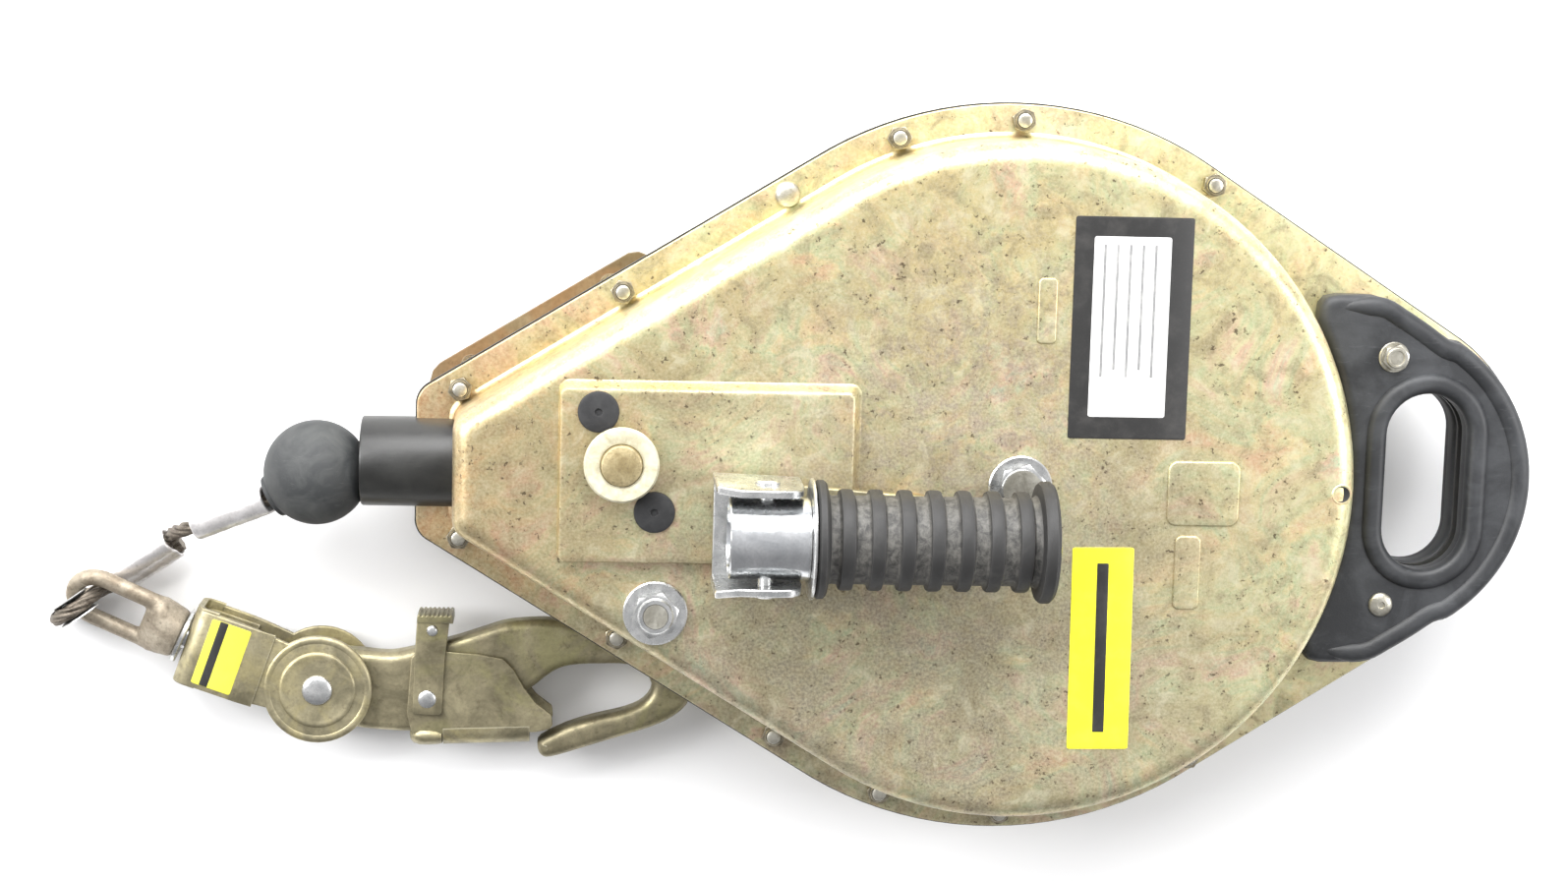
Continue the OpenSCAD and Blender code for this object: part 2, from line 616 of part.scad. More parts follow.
// flattened sleeve along +X
module sleeve(w, t, l) {
  rotate([0, 90, 0]) linear_extrude(l) {
    for (s = [1, -1]) translate([s * (t - w) / 2, 0]) circle(w / 2);
    square([t - w, w], center = true);
  }
}
module stop_ferrule() {
  color([0.8, 0.8, 0.8]) translate([-341.5, -31, 33]) rotate([0, -16, 23.3])
    sleeve(12.8, 15.5, 35.6);
}
module eye_ferrule() {
  color([0.8, 0.8, 0.8]) translate([-381.2, -60.2, 8.4]) rotate([0, -10, 34.5]) rotate([-40, 0, 0])
    sleeve(12.4, 17, 33);
}
crown_p = [-395.2, -69.8, 14.2];
module drop2d(r, l) { circle(r, $fn = 48); polygon([[0, r], [l, 1], [l, -1], [0, -r]]); }
module thimble() {
  color([0.75, 0.75, 0.73]) translate(crown_p) rotate([0, 18, 34.5]) rotate([90, 0, 0]) {
    translate([0, 0, -4]) linear_extrude(8) difference() { drop2d(7.6, 14); drop2d(6.6, 13); }
    for (z = [-4, 3.3]) translate([0, 0, z]) linear_extrude(0.7) difference() {
      drop2d(10.2, 14); drop2d(6.6, 13);
    }
  }
}
// ---------- swivel and hook ----------
sw_p = [-344, -85, 16.5];
sw_a = -19;
eye_roll = 28;
eye_tilt = -5;                  // the eye's shank hangs a little askew in its loose hole
module swivel_eye() {
  color([0.5, 0.47, 0.38]) translate(sw_p) rotate([0, 0, sw_a]) translate([-1.3, 0, 0])
  rotate([0, 0, eye_tilt]) translate([1.3, 0, 0]) {
    rotate([eye_roll, 0, 0]) {
      translate([-46, 0, 0]) difference() {
        rotate_extrude($fn = 96) translate([11, 0]) circle(3.7, $fn = 48);
        translate([0, -30, -10]) cube([30, 60, 20]);
      }
      for (s = [1, -1]) translate([-46, s * 11, 0]) rotate([0, 90, 0]) cylinder(r = 3.7, h = 26);
      translate([-23, -15, -5]) cube([9, 30, 10]);
      translate([-21, 0, 0]) rotate([0, 90, 0]) cylinder(r = 11, h = 13.4);
    }
    translate([-9, 0, 0]) rotate([0, 90, 0]) cylinder(r = 5.2, h = 14);
    translate([-7.2, 0, 0]) rotate([0, 90, 0]) cylinder(r = 12.2, h = 2);
    translate([3.5, 0, 0]) rotate([0, 90, 0]) cylinder(r = 6.7, h = 4);
  }
}
rivet_s = 56;
// one strap of the frame: plate at height z, thickness t
module strap(z, t, w, r) {
  translate([0, 0, z]) linear_extrude(t) {
    translate([0, -w / 2]) square([rivet_s, w]);
    translate([rivet_s, 0]) circle(r, $fn = 96);
  }
}
module swivel_frame() {
  color([0.52, 0.48, 0.32]) translate(sw_p) rotate([0, 0, sw_a]) difference() {
    union() {
      translate([-4, -17, -12]) cube([2.5, 34, 24]);
      difference() {
        union() {
          translate([-4, -17, 9.5]) cube([10, 34, 2.5]);
          translate([-4, -17, -12]) cube([10, 34, 2.5]);
        }
      }
      translate([rivet_s, 0, 11.5]) cylinder(r = 16, h = 1.3, $fn = 96);
      strap(9.5, 2.5, 30, 23.5);
      strap(-12, 2.5, 30, 23.5);
    }
    translate([-20, 0, 0]) rotate([0, 90, 0]) cylinder(r = 6.05, h = 30);
    translate([rivet_s, 0, -20]) cylinder(r = 5.02, h = 50);
  }
}
module inner_frame() {
  color([0.55, 0.51, 0.36]) translate(sw_p) rotate([0, 0, sw_a]) difference() {
    union() {
      translate([-1.2, -15, -9.3]) cube([2.5, 30, 18.6]);
      translate([-1.2, -13, 7.6]) cube([24, 26, 1.7]);
      translate([-1.2, -13, -9.3]) cube([24, 26, 1.7]);
    }
    translate([-20, 0, 0]) rotate([0, 90, 0]) cylinder(r = 6.05, h = 30);
  }
}
module hook_rivet() {
  color([0.82, 0.82, 0.8]) translate(sw_p) rotate([0, 0, sw_a]) translate([rivet_s, 0, 0]) {
    translate([0, 0, -15]) cylinder(r = 5, h = 29);
    translate([0, 0, 12.8]) intersection() { cylinder(r = 6.6, h = 5); translate([0, 0, -5]) sphere(r = 9); }
    translate([0, 0, -15.7]) cylinder(r = 7, h = 3.7);
  }
}
riv_w = [sw_p[0] + rivet_s * cos(sw_a), sw_p[1] + rivet_s * sin(sw_a)];
hook_z0 = 9.5;
hook_t = 14;
gate_p = [-243.9, -107.2];
module hook_body() {
  color([0.47, 0.46, 0.33]) difference() {
    union() {
      translate([riv_w[0], riv_w[1], hook_z0]) cylinder(r = 19.5, h = hook_t, $fn = 96);
      translate([0, 0, hook_z0]) linear_extrude(hook_t) {
        polygon([[-291, -86], [-262, -88.5], [-252, -86.5], [-246, -84.5], [-246, -123],
                 [-252, -123.4], [-270, -122], [-291, -119.5]]);
        polygon([[-250, -85.5], [-235, -82.2], [-222, -78], [-215.5, -75.4], [-203, -73.2],
                 [-189.5, -72.8], [-177, -75], [-165, -79], [-150, -85], [-140, -90.6],
                 [-133, -97], [-129.8, -104.5], [-131, -110], [-137, -115.5], [-146, -120],
                 [-160, -124.6], [-175, -129.4], [-190, -134], [-194.6, -133], [-196, -129],
                 [-194.6, -125.6], [-184, -120], [-172, -116], [-158, -112.5], [-150, -108.5],
                 [-146.5, -102.5], [-149, -96.5], [-157, -92.4], [-170, -92.2], [-182, -93],
                 [-190, -96], [-200, -104], [-212, -112], [-225, -118], [-236, -124], [-250, -124]]);
      }
    }
    translate([riv_w[0], riv_w[1], -10]) cylinder(r = 5.05, h = 50);
    translate([gate_p[0], gate_p[1], -10]) cylinder(r = 3.02, h = 50);
  }
}
module gate() {
  color([0.5, 0.48, 0.36]) difference() {
    union() {
      for (z = [hook_z0 - 2.4, hook_z0 + hook_t + 0.4]) translate([0, 0, z]) linear_extrude(2)
        polygon([[-251, -87.2], [-236, -86], [-222, -87.3], [-209, -89.5], [-206, -94],
                 [-202, -102], [-197, -108.5], [-190, -114], [-189.5, -118.5], [-191, -120.2],
                 [-196, -122.8], [-247, -131], [-252.5, -118.5]]);
      translate([0, 0, hook_z0 - 2.4]) linear_extrude(hook_t + 4.8)
        polygon([[-234, -129.2], [-197.6, -122.5], [-198.6, -131], [-234, -131.4]]);
    }
    translate([gate_p[0], gate_p[1], -10]) cylinder(r = 3.05, h = 50);
  }
}
module gate_pin() {
  color([0.7, 0.7, 0.66]) translate([gate_p[0], gate_p[1], hook_z0 - 4.3]) {
    cylinder(r = 3, h = 22.6);
    cylinder(r = 4.2, h = 1.6);
    translate([0, 0, 22.4]) cylinder(r = 4.2, h = 1.3);
  }
}
module lock_lever() {
  color([0.52, 0.5, 0.38]) difference() {
    union() {
      translate([0, 0, hook_z0 + hook_t + 2.6]) linear_extrude(1.4)
        polygon([[-250.4, -112], [-237.5, -112.5], [-234.6, -71], [-248, -70], [-249.6, -90]]);
      translate([-248, -72.5, 9]) cube([13.4, 2.2, 18.4]);
    }
    translate([gate_p[0], gate_p[1], -10]) cylinder(r = 3.05, h = 50);
  }
}

front_shell();
rear_shell();
shell_gasket();
flange_bolts();
flange_nuts();
nozzle_bushing();
handle_front();
handle_rear();
handle_fasteners();
mounting_bracket();
rear_frame_plate();
front_frame_plate();
frame_pillars();
main_shaft();
main_shaft_nut();
tie_bolt();
tie_bolt_nut();
spring_case();
mainspring();
spring_cover();
brake_ring();
crank_bushing();
rubber_discs();
rating_label();
warning_sticker();
drum();
rope_pack();
pawl_pins();
spring_arbor();
pawl_a();
pawl_b();
crank_shaft();
pinion();
crank_arm();
crank_nut();
crank_clevis();
fold_pin();
retrieval_gear();
selector_pin();
selector_ring();
handle_spindle();
grip_washer();
grip();
lifeline_inner();
lifeline_end();
ball_bumper();
stop_ferrule();
eye_ferrule();
thimble();
swivel_eye();
swivel_frame();
inner_frame();
hook_rivet();
hook_body();
gate();
gate_pin();
lock_lever();
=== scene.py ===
"""Self retracting lifeline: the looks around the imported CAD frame."""
from math import acos, atan2, cos, degrees, exp, pi, radians as rad, sin, sqrt, tan

import bmesh
import bpy
from mathutils import Matrix, Vector


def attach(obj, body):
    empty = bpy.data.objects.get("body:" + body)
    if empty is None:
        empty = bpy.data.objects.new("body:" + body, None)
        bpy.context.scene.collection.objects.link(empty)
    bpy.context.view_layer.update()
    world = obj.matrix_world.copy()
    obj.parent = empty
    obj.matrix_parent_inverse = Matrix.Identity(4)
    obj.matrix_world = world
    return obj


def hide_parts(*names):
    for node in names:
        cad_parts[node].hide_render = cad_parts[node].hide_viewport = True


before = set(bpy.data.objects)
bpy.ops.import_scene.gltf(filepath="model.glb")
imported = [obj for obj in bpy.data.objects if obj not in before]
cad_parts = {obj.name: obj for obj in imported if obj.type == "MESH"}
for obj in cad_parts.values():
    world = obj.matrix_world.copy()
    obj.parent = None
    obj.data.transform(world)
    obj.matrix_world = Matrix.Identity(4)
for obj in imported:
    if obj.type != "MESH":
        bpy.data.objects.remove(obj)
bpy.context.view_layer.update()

MM = 0.001
scene = bpy.context.scene
scene.view_settings.view_transform = "Standard"


# ---------- camera
def make_camera():
    data = bpy.data.cameras.new("camera")
    cam = bpy.data.objects.new("camera", data)
    scene.collection.objects.link(cam)
    cam.location = (-0.18165, 0.16617, 1.16475)
    cam.rotation_euler = (-0.1317, -0.0558, 0.0242)
    data.sensor_width = 36.0
    data.lens = 61.36
    data.shift_x = 0.0331
    data.shift_y = -0.0128
    data.clip_start, data.clip_end = 0.02, 30.0
    scene.camera = cam


make_camera()


# ---------- node helpers
class Mat:
    """A material with short calls for its nodes."""

    def __init__(self, name):
        self.m = bpy.data.materials.new(name)
        self.m.use_nodes = True
        self.t = self.m.node_tree
        self.t.nodes.clear()
        self.out = self.t.nodes.new("ShaderNodeOutputMaterial")
        self.b = self.t.nodes.new("ShaderNodeBsdfPrincipled")
        self.t.links.new(self.b.outputs[0], self.out.inputs[0])
        self.co = self.t.nodes.new("ShaderNodeTexCoord").outputs["Object"]

    def node(self, kind, **props):
        n = self.t.nodes.new(kind)
        for k, v in props.items():
            setattr(n, k, v)
        return n

    def put(self, socket, value):
        if isinstance(value, bpy.types.NodeSocket):
            self.t.links.new(value, socket)
        else:
            socket.default_value = value

    def noise(self, scale, detail=4.0, rough=0.55, warp=0.0, stretch=None):
        n = self.node("ShaderNodeTexNoise")
        co = self.co
        if stretch:
            m = self.node("ShaderNodeMapping")
            m.inputs["Scale"].default_value = stretch
            self.put(m.inputs["Vector"], co)
            co = m.outputs[0]
        self.put(n.inputs["Vector"], co)
        n.inputs["Scale"].default_value = scale
        n.inputs["Detail"].default_value = detail
        n.inputs["Roughness"].default_value = rough
        n.inputs["Distortion"].default_value = warp
        return n.outputs["Fac"]

    def ramp(self, fac, stops):
        n = self.node("ShaderNodeValToRGB")
        e = n.color_ramp.elements
        while len(e) < len(stops):
            e.new(0.5)
        for el, (p, c) in zip(e, stops):
            el.position = p
            el.color = (*c, 1.0)
        self.put(n.inputs["Fac"], fac)
        return n.outputs["Color"]

    def mix(self, fac, a, b):
        n = self.node("ShaderNodeMix", data_type="RGBA")
        self.put(n.inputs["Factor"], fac)
        self.put(n.inputs[6], (*a, 1.0) if isinstance(a, tuple) else a)
        self.put(n.inputs[7], (*b, 1.0) if isinstance(b, tuple) else b)
        return n.outputs[2]

    def math(self, op, a, b):
        n = self.node("ShaderNodeMath", operation=op)
        self.put(n.inputs[0], a)
        self.put(n.inputs[1], b)
        return n.outputs[0]

    def mul(self, a, b):
        return self.math("MULTIPLY", a, b)

    def add(self, a, b):
        return self.math("ADD", a, b)

    def sub(self, a, b):
        return self.math("SUBTRACT", a, b)

    def span(self, fac, lo, hi, to_lo=0.0, to_hi=1.0):
        n = self.node("ShaderNodeMapRange", clamp=True)
        for i, v in enumerate((fac, lo, hi, to_lo, to_hi)):
            self.put(n.inputs[i], v)
        return n.outputs[0]

    def axis(self, i):
        n = self.node("ShaderNodeSeparateXYZ")
        self.put(n.inputs[0], self.co)
        return n.outputs[i]

    def near(self, centre, r0, r1):
        """1 inside r0 of a point (metres), falling to 0 at r1."""
        d = self.node("ShaderNodeVectorMath", operation="DISTANCE")
        self.put(d.inputs[0], self.co)
        d.inputs[1].default_value = centre
        return self.span(d.outputs["Value"], r0, r1, 1.0, 0.0)

    def edges(self, radius):
        """Where the surface turns sharply, from a bevelled normal."""
        bev = self.node("ShaderNodeBevel", samples=4)
        bev.inputs["Radius"].default_value = radius
        geo = self.node("ShaderNodeNewGeometry")
        dot = self.node("ShaderNodeVectorMath", operation="DOT_PRODUCT")
        self.put(dot.inputs[0], bev.outputs[0])
        self.put(dot.inputs[1], geo.outputs["Normal"])
        return self.span(self.sub(1.0, dot.outputs["Value"]), 0.02, 0.25)

    def bump(self, height, dist, strength=0.5):
        n = self.node("ShaderNodeBump")
        n.inputs["Strength"].default_value = strength
        n.inputs["Distance"].default_value = dist
        self.put(n.inputs["Height"], height)
        self.put(self.b.inputs["Normal"], n.outputs[0])

    def done(self, color, rough, metal=0.0, **more):
        self.put(self.b.inputs["Base Color"], (*color, 1.0) if isinstance(color, tuple) else color)
        self.put(self.b.inputs["Roughness"], rough)
        self.put(self.b.inputs["Metallic"], metal)
        for k, v in more.items():
            self.put(self.b.inputs[k.replace("_", " ")], v)
        return self.m


def zinc_casing():
    """Yellow chromate on zinc plate: gold, olive and pink stains, a grey worn middle, specks;
    painted light makes it lighter towards the top, and its edges carry a painted highlight.
    """
    m = Mat("zinc_casing")
    big, mid = m.noise(9, 4, 0.55, 0.8), m.noise(34, 5, 0.62, 0.9)
    blotch, fine = m.noise(85, 5, 0.68, 0.7), m.noise(290, 4, 0.7)
    x, y = m.axis(0), m.axis(1)
    jitter = m.mul(m.sub(big, 0.5), 0.22)
    # Painted light: up paints the casing lighter towards the top, where the light falls, and
    # darker towards the bottom.
    up = m.span(m.add(y, jitter), -0.075, 0.105)
    right = m.span(m.add(x, jitter), 0.02, 0.135)
    col = m.mix(up, (0.33, 0.28, 0.17), (0.70, 0.57, 0.28))
    col = m.mix(m.mul(right, 0.8), col, (0.80, 0.73, 0.40))
    stain = m.ramp(m.noise(17, 5, 0.62, 2.2), [(0.32, (0.66, 0.36, 0.24)),
        (0.41, (0.72, 0.60, 0.32)), (0.48, (0.40, 0.52, 0.31)), (0.54, (0.68, 0.62, 0.38)),
        (0.60, (0.66, 0.38, 0.32)), (0.68, (0.38, 0.54, 0.40))])
    col = m.mix(m.span(mid, 0.40, 0.60, 0.06, 0.70), col, stain)
    col = m.mix(m.span(blotch, 0.50, 0.64, 0.0, 0.6), col, (0.27, 0.22, 0.13))
    col = m.mix(m.span(blotch, 0.46, 0.34, 0.0, 0.5), col, (0.84, 0.80, 0.58))
    nose = m.mul(m.span(x, -0.246, -0.15, 0.9, 0.0), m.span(mid, 0.36, 0.60, 0.2, 1.0))
    col = m.mix(nose, col, (0.42, 0.24, 0.11))
    worn = m.mul(m.near((-0.035, -0.062, 0.094), 0.06, 0.17), m.span(m.noise(52, 6, 0.74, 0.8),
        0.36, 0.58, 0.1, 1.0))
    col = m.mix(m.mul(worn, 0.78), col, (0.20, 0.18, 0.14))
    scuff = m.mul(m.near((-0.02, 0.035, 0.094), 0.02, 0.105), m.span(m.noise(130, 6, 0.78, 0.6),
        0.47, 0.58))
    col = m.mix(m.mul(scuff, 0.62), col, (0.30, 0.24, 0.215))
    col = m.mix(m.span(fine, 0.42, 0.7, 0.0, 0.35), col, (0.30, 0.235, 0.12))
    grain = m.noise(850, 3, 0.65)
    col = m.mix(m.span(grain, 0.36, 0.66, 0.0, 0.30), col, (0.88, 0.80, 0.54))
    specks = m.mul(m.span(m.noise(420, 3, 0.6), 0.62, 0.67), m.span(blotch, 0.42, 0.54))
    col = m.mix(m.mul(specks, 0.8), col, (0.09, 0.065, 0.04))
    # Painted highlight: sharp edges are painted a pale gold.
    edge = m.edges(0.0016)
    col = m.mix(m.mul(edge, 0.45), col, (0.95, 0.86, 0.58))
    rough = m.add(m.span(mid, 0.3, 0.7, 0.34, 0.46), m.mul(worn, 0.14))
    m.bump(m.add(m.mul(fine, 0.7), m.mul(grain, 0.3)), 0.0004, 0.25)
    return m.done(col, rough, m.sub(0.86, m.mul(worn, 0.22)))


def metal(name, dark, light, rough=(0.3, 0.5), metallic=0.9, scale=60, dirt=(0.12, 0.10, 0.07),
        dirt_amount=0.4, grain=900, bump=0.25, stain=None, edge=(0.9, 0.88, 0.8), edge_light_amount=0.3):
    m = Mat(name)
    a, b = m.noise(scale, 5, 0.62, 0.7), m.noise(scale * 4.3, 4, 0.65)
    col = m.mix(m.span(a, 0.34, 0.66), dark, light)
    if stain:
        col = m.mix(m.span(m.noise(scale * 0.45, 4, 0.6, 1.2), 0.48, 0.62, 0.0, 0.7), col, stain)
    g = m.noise(grain, 3, 0.6)
    col = m.mix(m.span(g, 0.4, 0.72, 0.0, dirt_amount * 0.5), col, dirt)
    col = m.mix(m.mul(m.span(b, 0.56, 0.72), dirt_amount), col, dirt)
    # Painted highlight: sharp edges are painted towards the lighter edge colour.
    col = m.mix(m.mul(m.edges(0.0009), edge_light_amount), col, edge)
    m.bump(m.add(m.mul(b, 0.6), m.mul(g, 0.4)), 0.0003, bump)
    return m.done(col, m.span(b, 0.3, 0.7, *rough), metallic)


def polymer(name, base, dust_and_edge_light, rough=(0.45, 0.6), dust=0.35, scale=50, grain=700, bump=0.2,
        edge_light_amount=0.3, **more):
    m = Mat(name)
    a, g = m.noise(scale, 5, 0.65, 0.6), m.noise(grain, 3, 0.6)
    col = m.mix(m.span(a, 0.42, 0.7, 0.0, dust), base, dust_and_edge_light)
    scuff = m.noise(scale * 2.2, 5, 0.75, 0.3, stretch=(1.0, 5.0, 1.0))
    col = m.mix(m.span(scuff, 0.60, 0.72, 0.0, dust), col, dust_and_edge_light)
    # Painted light: sharp edges are painted towards the dust colour, a painted sheen on the black
    # mouldings and a little painted shade on the cream ring.
    col = m.mix(m.mul(m.edges(0.0014), edge_light_amount), col, dust_and_edge_light)
    m.bump(m.add(m.mul(g, 0.6), m.mul(scuff, 0.4)), 0.0003, bump)
    return m.done(col, m.span(a, 0.3, 0.7, *rough), 0.0, **more)


ZINC = zinc_casing()
GASKET = polymer("gasket_black", (0.015, 0.015, 0.015), (0.05, 0.05, 0.045))
NOZZLE = polymer("nozzle_black", (0.012, 0.012, 0.011), (0.05, 0.05, 0.046), (0.30, 0.44), 0.3)
HANDLE = polymer("handle_plastic", (0.018, 0.019, 0.021), (0.080, 0.084, 0.09), (0.42, 0.56), 0.45,
    40, 900, 0.3, 0.45)
BALL = polymer("ball_rubber", (0.026, 0.028, 0.029), (0.085, 0.088, 0.084), (0.6, 0.75), 0.6, 70,
    600, 0.3)
DISC = polymer("disc_rubber", (0.014, 0.014, 0.015), (0.05, 0.05, 0.05), (0.6, 0.7), 0.4, 200)
BOLT = metal("bolt_steel", (0.36, 0.34, 0.28), (0.66, 0.64, 0.56), (0.28, 0.42), scale=150)
NUT = metal("nut_zinc", (0.13, 0.11, 0.07), (0.36, 0.31, 0.20), (0.3, 0.46), scale=190,
    dirt_amount=0.55)
BRIGHT = metal("bright_zinc", (0.42, 0.43, 0.43), (0.74, 0.74, 0.73), (0.22, 0.36), 0.95, 90,
    (0.25, 0.25, 0.24), 0.3, 1100, 0.2)
CHROME = metal("chrome_plate", (0.56, 0.58, 0.60), (0.82, 0.83, 0.84), (0.12, 0.26), 1.0, 60,
    (0.30, 0.30, 0.29), 0.25, 800, 0.12)
# Painted shade: the bracket is the casing's yellow chromate, painted a dark bronze brown for the
# shade it lies in below the flange.
BRACKET = metal("bracket_bronze", (0.16, 0.12, 0.065), (0.33, 0.26, 0.155), (0.42, 0.6), 0.6, 45,
    (0.12, 0.07, 0.03), 0.6, 500, 0.3, stain=(0.27, 0.16, 0.075))
STEEL = metal("inner_steel", (0.40, 0.40, 0.39), (0.58, 0.58, 0.56), (0.35, 0.5), 0.9, 60)
SPRING = metal("spring_steel", (0.16, 0.18, 0.22), (0.28, 0.30, 0.34), (0.3, 0.42), 0.95, 80)
BRONZE = metal("bush_bronze", (0.42, 0.26, 0.10), (0.62, 0.42, 0.18), (0.3, 0.45), 0.9, 110)
ALU = metal("ferrule_alu", (0.62, 0.60, 0.59), (0.86, 0.84, 0.83), (0.30, 0.46), 0.85, 110,
    (0.22, 0.20, 0.18), 0.35, 900, 0.35, edge=(0.97, 0.95, 0.94), edge_light_amount=0.4)
FORGED = metal("forged_eye", (0.22, 0.18, 0.13), (0.42, 0.37, 0.29), (0.45, 0.62), 0.65, 100,
    (0.09, 0.07, 0.045), 0.6, 700, 0.5, edge=(0.62, 0.58, 0.48), edge_light_amount=0.4)
HOOK = metal("hook_zinc", (0.18, 0.16, 0.10), (0.40, 0.355, 0.225), (0.36, 0.52), 0.75, 55,
    (0.10, 0.08, 0.05), 0.5, 700, 0.4, stain=(0.33, 0.31, 0.15), edge=(0.72, 0.68, 0.50),
    edge_light_amount=0.45)
FRAME = metal("frame_zinc", (0.20, 0.18, 0.115), (0.42, 0.375, 0.24), (0.34, 0.5), 0.75, 75,
    (0.12, 0.10, 0.06), 0.5, 800, 0.35, stain=(0.45, 0.39, 0.20), edge=(0.85, 0.80, 0.60),
    edge_light_amount=0.5)
SELECTOR = metal("selector_zinc", (0.36, 0.28, 0.14), (0.62, 0.52, 0.30), (0.35, 0.5), 0.75, 160,
    (0.16, 0.12, 0.07), 0.6, 900, 0.35)
CREAM = polymer("selector_cream", (0.56, 0.53, 0.39), (0.30, 0.26, 0.16), (0.45, 0.6), 0.7, 240,
    1200, 0.4, 0.1)


def grip_material():
    """Black rubber, dusty in the grooves between the ribs."""
    m = Mat("grip_rubber")
    yz = m.node("ShaderNodeVectorMath", operation="MULTIPLY")
    m.put(yz.inputs[0], m.co)
    yz.inputs[1].default_value = (0.0, 1.0, 1.0)
    d = m.node("ShaderNodeVectorMath", operation="DISTANCE")
    m.put(d.inputs[0], yz.outputs[0])
    d.inputs[1].default_value = (0.0, -0.016, 0.132)
    groove = m.span(d.outputs["Value"], 0.0176, 0.0192, 1.0, 0.0)
    a, g = m.noise(70, 5, 0.65, 0.6), m.noise(800, 3, 0.6)
    patchy = m.noise(260, 6, 0.78, 0.5)
    dust = m.mul(groove, m.span(patchy, 0.40, 0.62, 0.1, 1.0))
    col = m.mix(dust, (0.020, 0.0195, 0.019), (0.125, 0.12, 0.108))
    col = m.mix(m.span(a, 0.55, 0.72, 0.0, 0.3), col, (0.07, 0.067, 0.062))
    # Painted highlight: sharp edges of the ribs are painted a lighter grey.
    col = m.mix(m.mul(m.edges(0.001), 0.35), col, (0.16, 0.155, 0.15))
    m.bump(g, 0.0003, 0.25)
    return m.done(col, m.span(a, 0.3, 0.7, 0.5, 0.68))


def rope_material():
    """Galvanised wire rope, brown with grease and dust between the strands."""
    m = Mat("wire_rope")
    a, g = m.noise(240, 4, 0.6), m.noise(1800, 3, 0.6)
    col = m.mix(m.span(a, 0.35, 0.65), (0.055, 0.042, 0.030), (0.17, 0.145, 0.115))
    col = m.mix(m.span(g, 0.45, 0.7, 0.0, 0.4), col, (0.40, 0.36, 0.31))
    m.bump(g, 0.0002, 0.5)
    return m.done(col, m.span(a, 0.3, 0.7, 0.4, 0.6), 0.75)


def panel_material(name, colour, dirty, dirt=0.35):
    m = Mat(name)
    a, g = m.noise(120, 5, 0.65), m.noise(1500, 3, 0.6)
    col = m.mix(m.span(a, 0.48, 0.75, 0.0, dirt), colour, dirty)
    col = m.mix(m.span(g, 0.55, 0.75, 0.0, dirt * 0.5), col, dirty)
    m.bump(a, 0.0001, 0.15)
    return m.done(col, m.span(a, 0.3, 0.7, 0.32, 0.48))


GRIP, ROPE = grip_material(), rope_material()
LABEL_BLACK = panel_material("label_black", (0.020, 0.0195, 0.019), (0.07, 0.065, 0.06))
LABEL_WHITE = panel_material("label_white", (0.70, 0.70, 0.69), (0.52, 0.50, 0.46), 0.3)
LABEL_GREY = panel_material("label_grey", (0.22, 0.22, 0.22), (0.50, 0.49, 0.47), 0.6)
STICKER = panel_material("sticker_yellow", (0.90, 0.86, 0.03), (0.70, 0.64, 0.08), 0.3)
TAG_YELLOW = panel_material("tag_yellow", (0.62, 0.60, 0.06), (0.30, 0.28, 0.08), 0.5)


# ---------- mesh helpers
def finish_mesh(name, bm, material, sharp=35.0, matrix=None):
    bmesh.ops.remove_doubles(bm, verts=bm.verts, dist=1e-7)
    bmesh.ops.recalc_face_normals(bm, faces=bm.faces)
    me = bpy.data.meshes.new(name)
    bm.to_mesh(me)
    bm.free()
    if matrix is not None:
        me.transform(matrix)
    me.materials.append(material)
    me.shade_smooth()
    me.set_sharp_from_angle(angle=rad(sharp))
    ob = bpy.data.objects.new(name, me)
    scene.collection.objects.link(ob)
    return ob


def join_rows(bm, rows):
    for a, b in zip(rows, rows[1:]):
        for k in range(len(a)):
            j = (k + 1) % len(a)
            bm.faces.new([a[k], a[j], b[j], b[k]])


def add_rings(bm, rings, cap_start=True):
    """Joins rings of points in mm, each the same length, into one skin with closed ends."""
    rows = [[bm.verts.new(Vector(p) * MM) for p in ring] for ring in rings]
    join_rows(bm, rows)
    if cap_start:
        bm.faces.new(rows[0][::-1])
    bm.faces.new(rows[-1])


def skin(name, rings, material, sharp, cap_start=True):
    bm = bmesh.new()
    add_rings(bm, rings, cap_start)
    return finish_mesh(name, bm, material, sharp)


def at(x, y=0.0, z=0.0):
    return Matrix.Translation((x, y, z))


def rot(degrees_, axis):
    return Matrix.Rotation(rad(degrees_), 4, axis)


def turn(n):
    """n equal steps of angle round a circle."""
    return [2 * pi * k / n for k in range(n)]


def oval(a, half_y, half_z, q):
    """Radius at angle a of an oval whose squareness is q."""
    return 1 / (abs(cos(a) / half_y) ** q + abs(sin(a) / half_z) ** q) ** (1 / q)


def dome(r, z, h, stop, step):
    """Profile of a domed head, from its rim at height z up to h above it."""
    return [(r * cos(rad(a)), z + h * sin(rad(a))) for a in range(0, stop, step)]


def basis(origin, axis):
    """Matrix in mm whose local Z runs along axis."""
    z = Vector(axis).normalized()
    x = Vector((1, 0, 0) if abs(z.z) > 0.95 else (0, 0, 1)).cross(z).normalized()
    return Matrix.Translation(Vector(origin)) @ Matrix((x, z.cross(x), z)).transposed().to_4x4()


def lathe_into(bm, profile, m, n=64):
    """A closed turned solid: profile is (radius, height) from one pole or rim to the other."""
    ends = (profile[0][0] < 1e-6, profile[-1][0] < 1e-6)
    body = profile[1 if ends[0] else 0: len(profile) - 1 if ends[1] else len(profile)]
    rows = [[bm.verts.new((m @ Vector((r * cos(a), r * sin(a), h))) * MM) for a in turn(n)]
        for r, h in body]
    join_rows(bm, rows if any(ends) else rows + rows[:1])
    for end, row, (_, h) in zip(ends, (rows[0], rows[-1]), (profile[0], profile[-1])):
        if end:
            tip = bm.verts.new((m @ Vector((0, 0, h))) * MM)
            for k in range(n):
                bm.faces.new([row[k], row[(k + 1) % n], tip])


